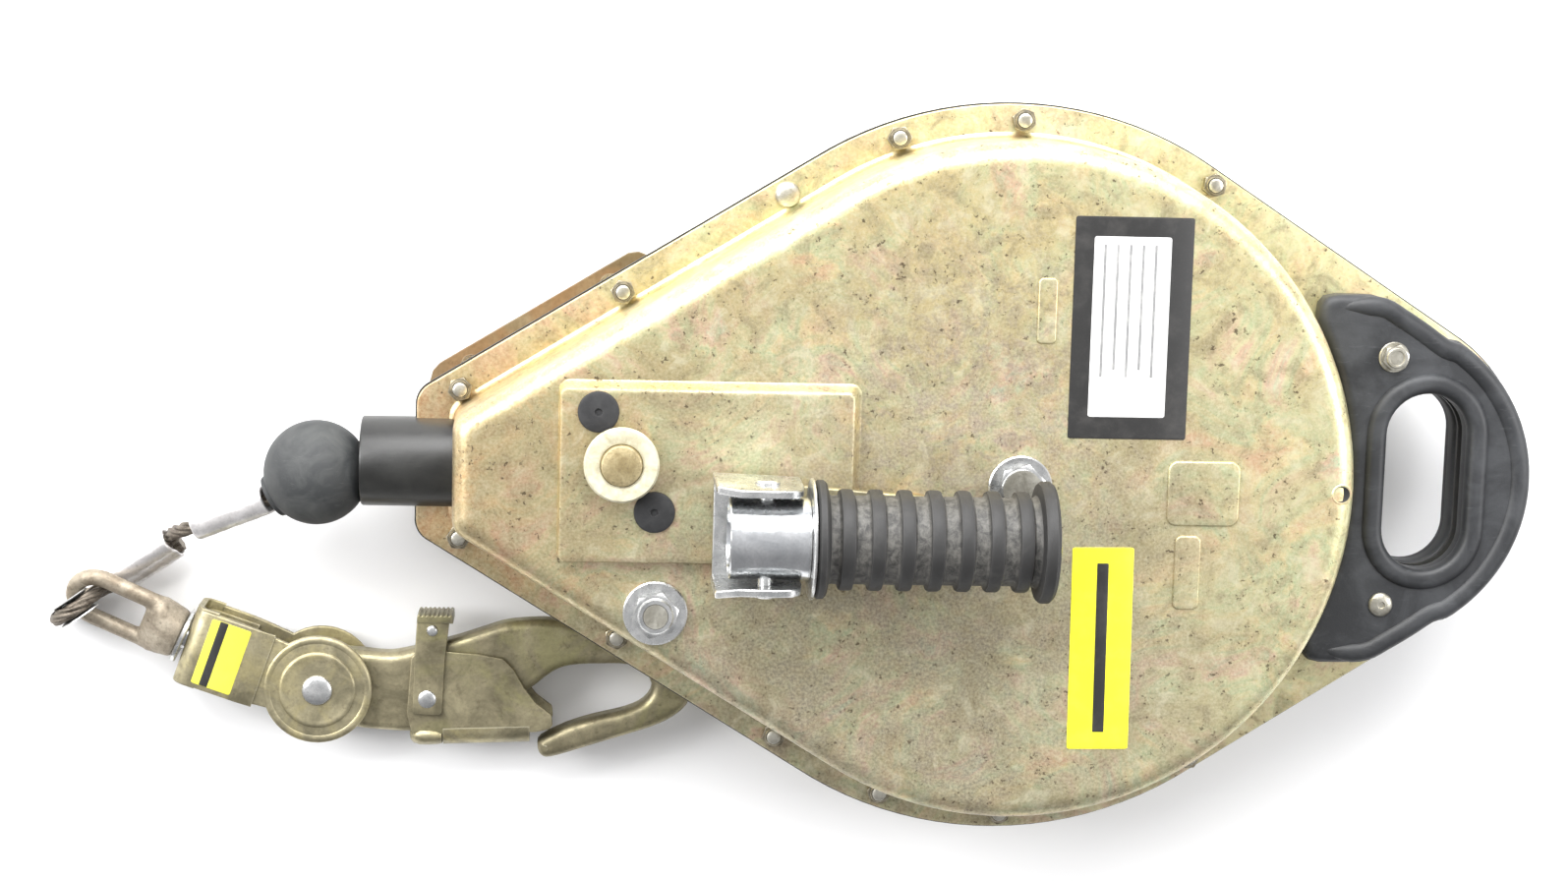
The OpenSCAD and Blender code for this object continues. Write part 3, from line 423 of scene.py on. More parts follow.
def lathe(name, profile, origin, axis, material, n=64, sharp=35.0):
    bm = bmesh.new()
    lathe_into(bm, profile, basis(origin, axis), n)
    return finish_mesh(name, bm, material, sharp)


def area2(loop):
    return sum(a[0] * b[1] - b[0] * a[1] for a, b in zip(loop, loop[1:] + loop[:1]))


def plate(name, loops, z0, z1, material, r=0.5, res=3, matrix=None, sharp=35.0):
    """A flat part with rounded edges: loops are outlines in mm, holes after the outer one."""
    cu = bpy.data.curves.new(name + "_line", "CURVE")
    cu.dimensions, cu.fill_mode = "2D", "BOTH"
    cu.extrude = max((z1 - z0) / 2 - r, 0.01) * MM
    cu.bevel_depth, cu.bevel_resolution, cu.offset = r * MM, res, -r * MM
    for i, loop in enumerate(loops):
        loop = [tuple(p[:2]) for p in loop]
        if (area2(loop) > 0) != (i == 0):
            loop = loop[::-1]
        sp = cu.splines.new("POLY")
        sp.points.add(len(loop) - 1)
        for pt, (x, y) in zip(sp.points, loop):
            pt.co = (x * MM, y * MM, 0.0, 1.0)
        sp.use_cyclic_u = True
    tmp = bpy.data.objects.new(name + "_tmp", cu)
    scene.collection.objects.link(tmp)
    dg = bpy.context.evaluated_depsgraph_get()
    me = bpy.data.meshes.new_from_object(tmp.evaluated_get(dg))
    bm = bmesh.new()
    bm.from_mesh(me)
    bpy.data.objects.remove(tmp)
    bpy.data.curves.remove(cu)
    bpy.data.meshes.remove(me)
    bmesh.ops.translate(bm, verts=bm.verts, vec=(0, 0, (z0 + z1) / 2 * MM))
    return finish_mesh(name, bm, material, sharp, scaled(matrix))


def scaled(matrix):
    """A matrix written in mm, for a mesh in metres."""
    if matrix is None:
        return None
    m = matrix.copy()
    m.translation = m.translation * MM
    return m


def arc(cx, cy, r, a0, a1, n):
    turns = [rad(a0 + (a1 - a0) * k / n) for k in range(n + 1)]
    return [(cx + r * cos(a), cy + r * sin(a)) for a in turns]


def line(a, b, n):
    """Points strictly between a and b."""
    return [(a[0] + (b[0] - a[0]) * k / n, a[1] + (b[1] - a[1]) * k / n) for k in range(1, n)]


def rounded(points, steps=6):
    """Polygon with each corner (x, y, r) turned into an arc."""
    out = []
    n = len(points)
    for i, (x, y, r) in enumerate(points):
        p, a, b = Vector((x, y)), Vector(points[i - 1][:2]), Vector(points[(i + 1) % n][:2])
        u, v = (a - p), (b - p)
        lu, lv = u.length, v.length
        u, v = u / lu, v / lv
        half = acos(max(-1, min(1, u.dot(v)))) / 2
        if r <= 0 or half > rad(89):
            out.append((x, y))
            continue
        t = min(r / tan(half), 0.48 * lu, 0.48 * lv)
        rr = t * tan(half)
        c = p + (u + v).normalized() * (rr / sin(half))
        s, e = p + u * t - c, p + v * t - c
        a0 = atan2(s.y, s.x)
        da = (atan2(e.y, e.x) - a0 + pi) % (2 * pi) - pi
        out += [(c.x + rr * cos(a0 + da * k / steps), c.y + rr * sin(a0 + da * k / steps))
            for k in range(steps + 1)]
    return out


def box_loop(x0, y0, x1, y1, r, steps=6):
    return rounded([(x0, y0, r), (x1, y0, r), (x1, y1, r), (x0, y1, r)], steps)


def catmull(p0, p1, p2, p3, t):
    """Point at t on the smooth curve from p1 to p2."""
    return 0.5 * (2 * p1 + (p2 - p0) * t + (2 * p0 - 5 * p1 + 4 * p2 - p3) * t * t
        + (3 * p1 - p0 - 3 * p2 + p3) * t ** 3)


def spline_loop(points, per):
    """Closed smooth curve through points."""
    out, n = [], len(points)
    for i in range(n):
        four = [Vector(points[(i + k) % n]) for k in (-1, 0, 1, 2)]
        out += [tuple(catmull(*four, k / per)) for k in range(per)]
    return out


def inset(loop, d):
    """Loop moved d towards its inside, for smooth outlines."""
    s = 1.0 if area2(loop) > 0 else -1.0
    out, n = [], len(loop)
    for i, p in enumerate(loop):
        t = Vector(loop[(i + 1) % n]) - Vector(loop[i - 1])
        t = t.normalized()
        out.append((p[0] - s * d * t.y, p[1] + s * d * t.x))
    return out


def own(ob, body, slot, *nodes):
    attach(ob, body)
    if nodes:
        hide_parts(*nodes)
    return ob


def own_all(pieces, body, slot, node):
    """Pieces of one part, of which the first stands for its CAD node."""
    for k, ob in enumerate(pieces):
        own(ob, body, slot, *([] if k else [node]))


# ---------- the rope end, made first
ROUTE = [(-271, 3.8, 47), (-275, 3.6, 47), (-280, 1.5, 47), (-285, -2, 46.5), (-290, -5.5, 46),
    (-296, -9.5, 45.5), (-302, -13.2, 44.5), (-309, -17, 43), (-317, -20.5, 40.5), (-325, -24, 38),
    (-333, -27.5, 35.5), (-341.5, -31, 33), (-346, -33, 30.5), (-350, -35, 26), (-353, -36.5,
    21.5), (-355, -40, 16.5), (-360, -43, 15.5), (-365, -46.5, 14.5), (-371, -50.5, 13.5),
    (-376.5, -54.5, 12), (-381.5, -58, 11.2), (-384.5, -61, 13), (-387, -64, 16.5), (-389.5, -66,
    20.5), (-392, -68, 23.5), (-395, -70, 25), (-398.5, -72, 24), (-401.5, -74, 22),
    (-403.5, -75.5, 18.5), (-404, -76, 14), (-403.5, -75.5, 10), (-401.5, -74, 6.5), (-398.5, -72,
    4), (-395, -70, 3.5), (-392, -67.5, 3.5), (-388.5, -66, 4), (-384.5, -64, 5), (-380, -62, 6),
    (-374.5, -58, 7), (-368.5, -54, 8.5), (-363, -50.3, 9.2), (-358, -47.2, 10.4), (-351, -42.8,
    11.2)]
ROPE_D = 6.35


def resample(points, step):
    """Smooth open curve through points, at about one point every step mm."""
    out, n = [], len(points)
    for i in range(n - 1):
        p0, p1 = Vector(points[max(i - 1, 0)]), Vector(points[i])
        p2, p3 = Vector(points[i + 1]), Vector(points[min(i + 2, n - 1)])
        steps = max(1, round((p2 - p1).length / step))
        out += [catmull(p0, p1, p2, p3, k / steps) for k in range(steps)]
    out.append(Vector(points[-1]))
    return out


def frames_along(pts):
    """A steady pair of side directions at each point of a curve."""
    out, side = [], None
    for i in range(len(pts)):
        t = (pts[min(i + 1, len(pts) - 1)] - pts[max(i - 1, 0)]).normalized()
        if side is None:
            side = t.cross(Vector((0, 0, 1))).normalized()
        side = (side - t * side.dot(t)).normalized()
        out.append((side, t.cross(side)))
    return out


def stranded(name, points, d, material, strands=6, per=8, lay=42.0, step=0.9):
    pts = resample(points, step)
    rings, s = [], 0.0
    r = d / 2
    for i, ((u, v), p) in enumerate(zip(frames_along(pts), pts)):
        if i:
            s += (p - pts[i - 1]).length
        twist = 2 * pi * s / lay
        ring = []
        for k in range(strands * per):
            f = ((k % per) / per - 0.5) * 2 * pi / strands
            bulge = sqrt(max((r / 3) ** 2 - (r * 2 / 3 * sin(f)) ** 2, 0))
            dist = max(r * 2 / 3 * cos(f) + bulge, 0.76 * r)
            a = 2 * pi * k / (strands * per) + twist
            ring.append(p + (u * cos(a) + v * sin(a)) * dist)
        rings.append(ring)
    return skin(name, rings, material, 60.0)


rope = own(stranded("lifeline_rope", ROUTE, ROPE_D, ROPE), "line_body", "wire_rope",
    "lifeline_end")


def local(origin, *turns):
    """Matrix in mm: translate, then OpenSCAD style rotations in order."""
    m = Matrix.Translation(Vector(origin))
    for rx, ry, rz in turns:
        m = m @ rot(rz, "Z") @ rot(ry, "Y") @ rot(rx, "X")
    return m


def ferrule(name, m, w, t, length, waist, material):
    """Pressed oval sleeve along local X, with a lengthwise crease and an open, rounded mouth."""
    def ring(x, grow):
        pts = []
        for a in turn(48):
            r = oval(a, t / 2, w / 2, 2.6)
            r *= 1 - waist * exp(-((abs(sin(a)) - 1.0) / 0.06) ** 2)
            r += grow
            pts.append(m @ Vector((x, r * sin(a), r * cos(a))))
        return pts

    mouth = [(1.8, -2.1), (0.5, -1.7), (0.0, -1.1), (0.2, -0.4), (0.9, 0.0)]
    rings = [ring(x, g) for x, g in mouth]
    rings += [ring(length * (k + 2) / 14, 0.10 * sin(k * 2.4)) for k in range(11)]
    rings += [ring(length - x, g) for x, g in mouth[::-1]]
    return skin(name, rings, material, 50.0)


stop_m = local((-341.5, -31, 33), (0, -16, 23.3))
eye_m = local((-381.2, -60.2, 8.4), (0, -10, 34.5), (-40, 0, 0))
stop = own(ferrule("stop_sleeve", stop_m, 12.8, 15.5, 35.6, 0.02, ALU), "line_body", "ferrule_alu",
    "stop_ferrule")
eye_f = own(ferrule("eye_sleeve", eye_m, 12.4, 17.0, 33.0, 0.10, ALU), "line_body", "ferrule_alu",
    "eye_ferrule")

BALL_C = Vector((-290, -5.5, 46))
BALL_AX = (Vector((-308.6, -16.8, 43.2)) - BALL_C).normalized()
BALL_R = 22.0
BALL_LINE = [(0.0, -BALL_R)] + arc(0, 0, BALL_R, -90, 64.6, 29)[1:] + [(9.1, 20.4), (9.4, 21.0),
    (9.2, 21.7), (8.0, 22.2), (3.3, 22.3), (0.0, 22.3)]
ball = own(lathe("bumper_ball", BALL_LINE, BALL_C, BALL_AX, BALL, 96, 60), "line_body",
    "rubber_grey", "ball_bumper")


def thimble_piece():
    """Grooved liner of the rope's loop: a channel round the crown, its legs drawn together."""
    m = local((-395.2, -69.8, 14.2), (0, 18, 34.5), (90, 0, 0))
    section = [(11.9, 4.15), (12.1, 4.5), (11.8, 4.8), (8.2, 4.1), (6.9, 2.6), (6.75, 0),
        (6.9, -2.6), (8.2, -4.1), (11.8, -4.8), (12.1, -4.5), (11.9, -4.15), (8.5, -3.3),
        (7.6, -2.2), (7.45, 0), (7.6, 2.2), (8.5, 3.3)]
    rings = []
    for k in range(41):
        a = rad(58 + 244 * k / 40)
        squeeze = 1.0 if 6 < k < 34 else 0.97
        rings.append([m @ Vector((r * squeeze * cos(a), r * squeeze * sin(a), z))
            for r, z in section])
    return skin("thimble_liner", rings, BRIGHT, 40)


thimble = own(thimble_piece(), "line_body", "ferrule_alu", "thimble")


# ---------- swivel and hook
SW = (-344, -85, 16.5)
SW_A = -19.0
sw_m = local(SW, (0, 0, SW_A))
eye_t = sw_m @ at(-1.3) @ rot(-5, "Z") @ at(1.3)
eye_r = eye_t @ rot(28, "X")


def sweep_into(bm, pts, radii, m, n=20, flat=1.0):
    """A round bar along pts, its own radius at each, pressed by flat."""
    add_rings(bm, [[m @ (p + u * cos(a) * r + v * sin(a) * r * flat) for a in turn(n)]
        for (u, v), p, r in zip(frames_along(pts), pts, radii)])


def swivel_eye_piece():
    bm = bmesh.new()
    side = (-20, -26, -32, -38, -43)
    pts = [Vector((x, -11.0, 0)) for x in side]
    pts += [Vector((-46 - 11 * sin(rad(a)), -11 * cos(rad(a)), 0)) for a in range(0, 181, 12)]
    pts = resample(pts + [Vector((x, 11.0, 0)) for x in side[::-1]], 2.0)
    sweep_into(bm, pts, [3.7] * len(pts), eye_r, 24)
    knuckle = []
    for x, hy, hz, q in ((-25.2, 13.6, 2.6, 2.4), (-24.4, 14.4, 3.6, 2.6), (-22, 14.9, 5.0, 3.0),
            (-18.5, 14.4, 7.2, 3.0), (-15, 12.6, 9.4, 2.6), (-11.5, 11.3, 10.4, 2.3),
            (-8.6, 10.8, 10.6, 2.1), (-7.6, 10.0, 10.0, 2.0)):
        rim = [(a, oval(a, hy, hz, q)) for a in turn(40)]
        knuckle.append([eye_r @ Vector((x, r * cos(a), r * sin(a))) for a, r in rim])
    add_rings(bm, knuckle)
    ob = finish_mesh("swivel_eye_forging", bm, FORGED, 60)
    remesh = ob.modifiers.new("fuse", "REMESH")
    remesh.mode, remesh.voxel_size, remesh.use_smooth_shade = "VOXEL", 0.0007, True
    smooth = ob.modifiers.new("soften", "CORRECTIVE_SMOOTH")
    smooth.iterations, smooth.factor, smooth.use_only_smooth = 6, 0.6, True
    return ob


eye_ring = own(swivel_eye_piece(), "eye_body", "eye_forged", "swivel_eye")


def shank_piece():
    bm = bmesh.new()
    m = eye_t @ rot(90, "Y")
    lathe_into(bm, [(0, -7.4), (11.4, -7.4), (12.2, -7.0), (12.2, -5.7), (11.6, -5.2), (5.3, -5.2),
        (5.2, 3.5), (6.3, 3.5), (6.7, 3.9), (6.7, 6.6), (5.6, 7.5), (0, 7.5)], m, 56)
    return finish_mesh("swivel_shank", bm, BRIGHT, 35)


eye_shank = own(shank_piece(), "eye_body", "bolt_steel")

RIV = (SW[0] + 56 * cos(rad(SW_A)), SW[1] + 56 * sin(rad(SW_A)))


def strap_outline(w, r, x0):
    """Strap from x0 out to a round end of radius r at x 56, with soft shoulders."""
    a = degrees(acos((w / 2) / r))
    edge = 90 + (90 - a) + 6
    return [(x0, -w / 2), (x0 + 14, -w / 2), (x0 + 22, -w / 2 + 0.3)] + arc(56, 0, r, -edge, edge,
        40) + [(x0 + 22, w / 2 - 0.3), (x0 + 14, w / 2), (x0, w / 2)]


def bent_plate(name, profile, half_w, t, material, m):
    """Sheet bent along local Y: profile is the (x, z) line of its middle."""
    pts = [Vector((x, 0, z)) for x, z in profile]
    b = min(0.5, t / 3)
    rings = []
    for i, p in enumerate(pts):
        d = (pts[min(i + 1, len(pts) - 1)] - pts[max(i - 1, 0)]).normalized()
        nrm = Vector((-d.z, 0, d.x))
        ring = []
        for q, (sy, sn) in enumerate(((-1, -1), (1, -1), (1, 1), (-1, 1))):
            for k in range(4):
                a = rad(180 + 90 * q + 30 * k)
                side = Vector((0, sy * (half_w - b) + b * cos(a), 0))
                ring.append(m @ (p + side + nrm * (sn * (t / 2 - b) + b * sin(a))))
        rings.append(ring)
    return skin(name, rings, material, 40)


def swivel_frame_pieces():
    out = []
    for s, tag in ((1, "front"), (-1, "rear")):
        z0, z1 = sorted((s * 9.5, s * 12.0))
        out.append(plate(f"swivel_strap_{tag}", [strap_outline(33, 23.5, 2.0)], z0, z1, FRAME, 0.8,
            matrix=sw_m))
    half = [(6.0, 10.75)] + arc(1.2, 6.8, 3.95, 90, 180, 8)
    full = half + [(x, -z) for x, z in half[::-1]]
    out.append(bent_plate("swivel_crossplate", full, 17.4, 2.5, FRAME, sw_m))
    out.append(bent_plate("swivel_cover", [(-3.4, 8.2), (-2.6, 11.0), (-0.4, 12.6), (2.5, 13.1),
        (12, 13.1), (24, 13.1), (26.5, 12.9), (31.5, 12.0)], 16.6, 1.2, FRAME, sw_m))
    bm = bmesh.new()
    m = sw_m @ at(56)
    lathe_into(bm, [(0, 11.0), (16.6, 11.0), (16.6, 12.2), (16.0, 12.9), (15.0, 13.1),
        (14.2, 12.95), (13.2, 12.9), (0, 12.9)], m, 72)
    bead = ((19.6, 11.6), (20.4, 12.1), (21.6, 12.4), (22.8, 12.1), (23.4, 11.3), (21.5, 11.0))
    for s in (1, -1):
        lathe_into(bm, [(r, s * z) for r, z in bead], m, 72)
    out.append(finish_mesh("swivel_rims", bm, FRAME, 40))
    return out


own_all(swivel_frame_pieces(), "swivel_body", "hook_zinc", "swivel_frame")
YOKE = [(22.8, 8.45), (6, 8.45), (3.2, 8.2), (0.9, 7.2), (0.05, 5.2)]
own(bent_plate("swivel_inner_yoke", YOKE + [(0.05, 0)] + [(x, -z) for x, z in YOKE[::-1]], 14.0,
    1.7, FRAME, sw_m), "swivel_body", "hook_zinc", "inner_frame")

# a blank yellow tag with one plain dark bar
own(plate("tag_panel", [box_loop(4, -14.5, 21.5, 15, 1)], 13.6, 13.85, TAG_YELLOW, 0.1, 1, sw_m),
    "swivel_body", "sticker_yellow")
own(plate("tag_bar_a", [box_loop(7.6, -14.4, 11.2, 14.9, 0.3)], 13.75, 13.95, LABEL_BLACK, 0.08, 1,
    sw_m), "swivel_body", "sticker_yellow")


def rivet_piece():
    bm = bmesh.new()
    m = sw_m @ at(56)
    lathe_into(bm, [(0, -15.6), (6.2, -15.6), (7.0, -15.0), (7.0, -12.0), (5.0, -12.0),
        (5.0, 12.4), (6.5, 12.4)] + dome(6.6, 13.0, 1.9, 90, 12) + [(0, 14.9)], m, 48)
    return finish_mesh("rivet_domed", bm, BRIGHT, 50)


own(rivet_piece(), "swivel_body", "hook_zinc", "hook_rivet")

HOOK_LINE = [(-235, -82.2), (-222, -78), (-212, -74.6), (-203, -73.2), (-189.5, -72.8),
    (-177, -75), (-165, -79), (-150, -85), (-140, -90.6), (-133, -97), (-129.8, -104.5),
    (-131, -110), (-137, -115.5), (-146, -120), (-160, -124.6), (-175, -129.4), (-190, -134),
    (-194.6, -133), (-196, -129), (-194.6, -125.6), (-184, -120), (-172, -116), (-158, -112.5),
    (-150, -108.5), (-146.5, -102.5), (-149, -96.5), (-157, -92.4), (-170, -92.2), (-182, -93),
    (-190, -96), (-200, -104), (-212, -112), (-225, -118), (-236, -122.5)]


def hook_piece():
    pts = [(-254, -87.2)] + HOOK_LINE
    pts += [(-254, -123), (-262, -122.6), (-271, -122), (-280, -120.4)]
    pts += arc(*RIV, 19.5, 298, 62, 16) + [(-280, -86.6), (-271, -87.4), (-262, -88.2)]
    return plate("hook_forging", [spline_loop(pts, 3)], 9.5, 23.5, HOOK, 4.2, 5, sharp=50)


own(hook_piece(), "hook", "hook_zinc", "hook_body")

GATE_SIDE = [(-251, -87.6, 3), (-236, -86.3, 6), (-222, -87.3, 8), (-211, -89.3, 4), (-206.5, -94,
    6), (-202, -102, 8), (-197, -108.5, 8), (-190, -113.8, 2), (-189.5, -118.5, 2),
    (-190.6, -120.4, 2), (-197, -121.8, 3), (-234, -122.6, 3), (-250, -124.5, 4), (-252.8, -114,
    6)]
own_all([plate(f"gate_cheek_{side}", [rounded(GATE_SIDE, 5)], z0, z0 + 2.0, HOOK, 0.7)
    for side, z0 in (("front", 23.9), ("rear", 7.1))], "gate_body", "hook_zinc", "gate")


def gate_floor():
    """Folded lower edge of the gate: a sloping strip, a round fold and the web across."""
    section = ((26.05, -119.5), (26.05, -121.6), (25.4, -123.6), (24.0, -125.6), (21.6, -127.4),
        (16.5, -128.4), (11.4, -127.4), (9.0, -125.6), (7.6, -123.6), (6.95, -121.6),
        (6.95, -119.5), (8.1, -121.0), (9.2, -124.6), (16.5, -126.6), (23.8, -124.6),
        (24.9, -121.0))
    rings = [[Vector((x, y + v, z)) for z, v in section] for x, y in ((-237, -0.9), (-230, -0.6),
        (-222, -0.3), (-210, 0.1), (-199.5, 0.5))]
    return skin("gate_web", rings, FRAME, 40)


own(gate_floor(), "gate_body", "hook_zinc")


def heel_piece():
    """Bright rounded heel of the gate's pivot."""
    rings = [[Vector((x, -124.0 + 5.4 * s * cos(a), 16.5 + 10.7 * s * sin(a))) for a in turn(24)]
        for x, s in ((-251.6, 0.3), (-251.2, 0.62), (-249.8, 0.86), (-247, 1.0), (-243, 1.0),
        (-240, 0.97), (-237.6, 0.9), (-237.0, 0.7))]
    return skin("gate_heel", rings, FRAME, 50)


own(heel_piece(), "gate_body", "hook_zinc")


def pin_piece():
    bm = bmesh.new()
    lathe_into(bm, [(0, 5.3), (3.8, 5.3), (4.2, 5.7), (4.2, 6.9), (3, 6.9), (3, 26.9)] + dome(4.2,
        27.0, 1.5, 90, 15) + [(0, 28.5)], at(-243.9, -107.2), 32)
    return finish_mesh("gate_pivot_pin", bm, BRIGHT, 50)


own(pin_piece(), "hook", "bolt_steel", "gate_pin")


def lever_pieces():
    body = plate("lock_lever_sheet", [rounded([(-250.4, -114, 2), (-237.5, -114.5, 2),
        (-236.4, -90, 8), (-234.4, -72, 0.8), (-248.4, -71, 0.8), (-249.6, -90, 8)], 5)], 26.1,
        27.5, HOOK, 0.5)
    teeth = []
    for k in range(8):
        x = -248.4 + k * 1.95
        teeth += [(x, -70.5), (x + 0.5, -69.9), (x + 1.1, -69.9), (x + 1.6, -70.5)]
    loop = [(-248.6, -73.4)] + teeth + [(-233.0, -73.6)]
    tab = plate("lock_lever_tab", [loop[::-1]], 10.0, 28.2, HOOK, 0.35, 2)
    bm = bmesh.new()
    lathe_into(bm, [(0, 26.8), (2.6, 26.8), (2.6, 27.4), (2.2, 28.1), (1.2, 28.5), (0, 28.6)],
        at(-241.9, -76.8), 28)
    dimple = finish_mesh("lock_lever_rivet", bm, BRIGHT, 50)
    return body, tab, dimple


own_all(lever_pieces(), "lock_body", "hook_zinc", "lock_lever")

ROUTE_M = [tuple(c * MM for c in p) for p in resample(ROUTE, 2.0)]

# ---------- casing
def cased(ob, slot, *nodes):
    own(ob, "casing", slot, *nodes)


FL_R, TAIL_X, TAIL_R, NOSE_X = 155.0, 154.0, 72.0, -248.0
NL = 121.5
NR = degrees(acos((FL_R - TAIL_R) / TAIL_X))


def nose_corner(d, rc, x):
    n0, n1 = cos(rad(NL)), sin(rad(NL))
    return x + rc, (FL_R - d - rc - n0 * (x + rc)) / n1


def nose_half(d, rc, x, n_line=14, n_corner=8):
    """Points from the big circle's tangent point round the upper nose corner to the axis."""
    cx, cy = nose_corner(d, rc, x)
    a = (FL_R - d) * cos(rad(NL)), (FL_R - d) * sin(rad(NL))
    corner = arc(cx, cy, rc, NL, 180, n_corner)
    return line(a, corner[0], n_line) + corner


def wall_loop(d, rc, x):
    up = nose_half(d, rc, x)
    return arc(0, 0, FL_R - d, -NL, NL, 120) + up + line(up[-1], (up[-1][0], -up[-1][1]),
        6) + [(px, -py) for px, py in up[::-1]]


def flange_loop(d):
    rc, x = 10 - d * 0.5, NOSE_X + d
    up = nose_half(d, rc, x)
    side = arc(0, 0, FL_R - d, NR, NL, 40)
    tail = arc(TAIL_X, 0, TAIL_R - d, -NR, NR, 50)
    joint = line(tail[-1], side[0], 10)
    half = joint + side + up
    return tail + half + line(up[-1], (up[-1][0], -up[-1][1]), 6) + [(px, -py)
        for px, py in half[::-1]]


def slot_loop(d):
    r = 17.5 + d
    return arc(178.5, 20.0, r, 0, 180, 20) + arc(178.5, -20.0, r, 180, 360, 20)


def shell(name, z_flange, face, sgn):
    """Drawn shell: foot fillet, slightly drafted wall, rounded shoulder and a flat face."""
    deep = abs(face - z_flange)
    rows = [(11.6, -0.4), (11.6, 0.0), (12.6, 0.35), (13.4, 1.1), (13.8, 2.4), (14.0, 5.0),
        (14.6, deep - 9.5)]
    rows += [(14.7 + 8.3 * (1 - cos(rad(a))), deep - 8.3 + 8.3 * sin(rad(a))) for a in (0, 15, 30,
        45, 60, 75, 90)]
    rows += [(25.0, deep), (32.0, deep)]
    rings = []
    for d, h in rows:
        rc = max(8.5 - 0.3 * (d - 14), 2.5)
        rings.append([(x, y, z_flange + sgn * h) for x, y in wall_loop(d, rc, NOSE_X + d + 2)])
    return skin(name, rings, ZINC, 30, cap_start=False)


for tag, base, face, sgn, z0, d in (("front", 50.0, 94.0, 1, 48.05, 0.0), ("rear", 44.0, 4.0, -1,
        44.0, 0.6)):
    loops = [flange_loop(d), slot_loop(3.0), wall_loop(16.5, 8, NOSE_X + 17)]
    own_all((shell(f"casing_{tag}", base, face, sgn), plate(f"flange_{tag}", loops, z0, z0 + 1.95,
        ZINC, 0.5)), "casing", "zinc_yellow", f"{tag}_shell")


def pad_piece():
    """Raised pad: its upper and right flanks slope out, its left and lower ones stand steep."""
    def ring(l, r, b, t, rc, z):
        pts = []
        for cx, cy, a in ((r - rc, t - rc, 0), (l + rc, t - rc, 90), (l + rc, b + rc, 180),
                (r - rc, b + rc, 270)):
            pts += [(px, py, z) for px, py in arc(cx, cy, rc, a, a + 90, 6)]
        return pts

    rings = [ring(*row) for row in ((-188.6, -65.6, -33.4, 41.6, 4.5, 93.8), (-188.3, -66.4, -33.0,
        40.8, 4.0, 94.3), (-188.1, -67.4, -32.8, 39.9, 3.5, 95.6), (-188.0, -68.4, -32.6, 38.9,
        3.0, 98.2), (-187.9, -68.8, -32.5, 38.5, 3.0, 99.2), (-187.5, -69.4, -32.1, 37.9, 2.8,
        99.8), (-186.8, -70.2, -31.4, 37.1, 2.4, 100.0), (-185.5, -71.5, -30.1, 35.8, 2.0, 100.0))]
    return skin("casing_pad", rings, ZINC, 30, cap_start=False)


cased(pad_piece(), "zinc_yellow")


# plain raised panels
for name, box, h in (("embossed_panel", (61, -15, 91, 12, 4), 0.9), ("embossed_bar_a",
        (4.5, 59, 12.5, 86, 2), 0.8), ("embossed_bar_b", (65, -50, 76, -19, 3), 0.8)):
    cased(plate(name, [box_loop(*box)], 92.6, 94.0 + h, ZINC, h, 4), "zinc_yellow")


def hex_radius(a, af):
    return af / 2 / cos((a - rad(15)) % rad(60) - rad(30))


def hex_into(bm, x, y, z0, h, af, collar=1.0, bore=3.0, m=None):
    """Hexagon nut with a chamfered top and a round locking collar."""
    m = m or Matrix.Identity(4)
    ra, top = af / 2, z0 + h

    def rows(q):
        """(radius, height) from foot to bore, at an angle where the hexagon's radius is q."""
        out = [(min(q, ra), z0), (q, z0 + (q - ra) * 0.5), (q, top - (q - ra) * 0.58),
            (ra * 0.98, top)]
        if collar:
            out += [(ra * 0.88, top), (ra * 0.86, top + collar * 0.6), (ra * 0.80, top + collar)]
        return out + [(bore + 0.25, top + collar), (bore, top + collar * 0.5)]

    add_rings(bm,
        list(zip(*[[m @ Vector((x + r * cos(a), y + r * sin(a), z)) for r, z in rows(hex_radius(a,
        af))] for a in turn(48)])))


def dome_into(bm, x, y, z0, z1, r, n=32):
    lathe_into(bm, [(0, z0), (r, z0)] + dome(r, z1 - r * 0.22, r * 0.22, 90, 18) + [(0, z1)],
        at(x, y), n)


BOLTS = [(x, s * y) for s in (1, -1) for x, y in ((-230, 31.4), (-162.8, 73.4), (-95, 115.4),
    (-49, 139.8), (3, 148.3), (84.5, 123))]


def fasteners():
    nuts, bolts = bmesh.new(), bmesh.new()
    for i, (x, y) in enumerate(BOLTS):
        spin = local((x, y, 0), (0, 0, (i * 37) % 60)) @ at(-x, -y)
        if i == 2:
            hex_into(nuts, x, y, 39, 4, 9, m=spin)
            lathe_into(bolts, [(0, 38), (3, 38), (3, 49.9), (5.4, 49.9)] + dome(5.4, 50.9, 2.4, 90,
                10) + [(0, 53.3)], at(x, y), 40)
            continue
        hex_into(nuts, x, y, 50, 4, 9, m=spin)
        dome_into(bolts, x, y, 43, 56.1, 3.0)
        hex_into(bolts, x, y, 40, 4, 9, 0, 0.5, m=spin)
    cased(finish_mesh("flange_nut_set", nuts, NUT, 30), "bolt_steel", "flange_nuts")
    cased(finish_mesh("flange_bolt_set", bolts, BOLT, 30), "bolt_steel", "flange_bolts")


fasteners()


def big_nut(name, x, y, z0, shaft_r, washer_r, af, node, n_z, end_z):
    bm = bmesh.new()
    lathe_into(bm, [(shaft_r, z0), (washer_r - 0.5, z0), (washer_r, z0 + 0.4),
        (washer_r, z0 + 1.5), (washer_r - 0.6, z0 + 2.0), (shaft_r, z0 + 2.0)], at(x, y), 64)
    hex_into(bm, x, y, z0 + 2.0, n_z, af, 1.4, shaft_r)
    cased(finish_mesh(name, bm, BRIGHT, 30), "bolt_steel", node)
    bm = bmesh.new()
    dome_into(bm, x, y, z0 - 2, end_z, shaft_r - 0.15, 40)
    cased(finish_mesh(name + "_stud", bm, BRIGHT, 30), "bolt_steel")


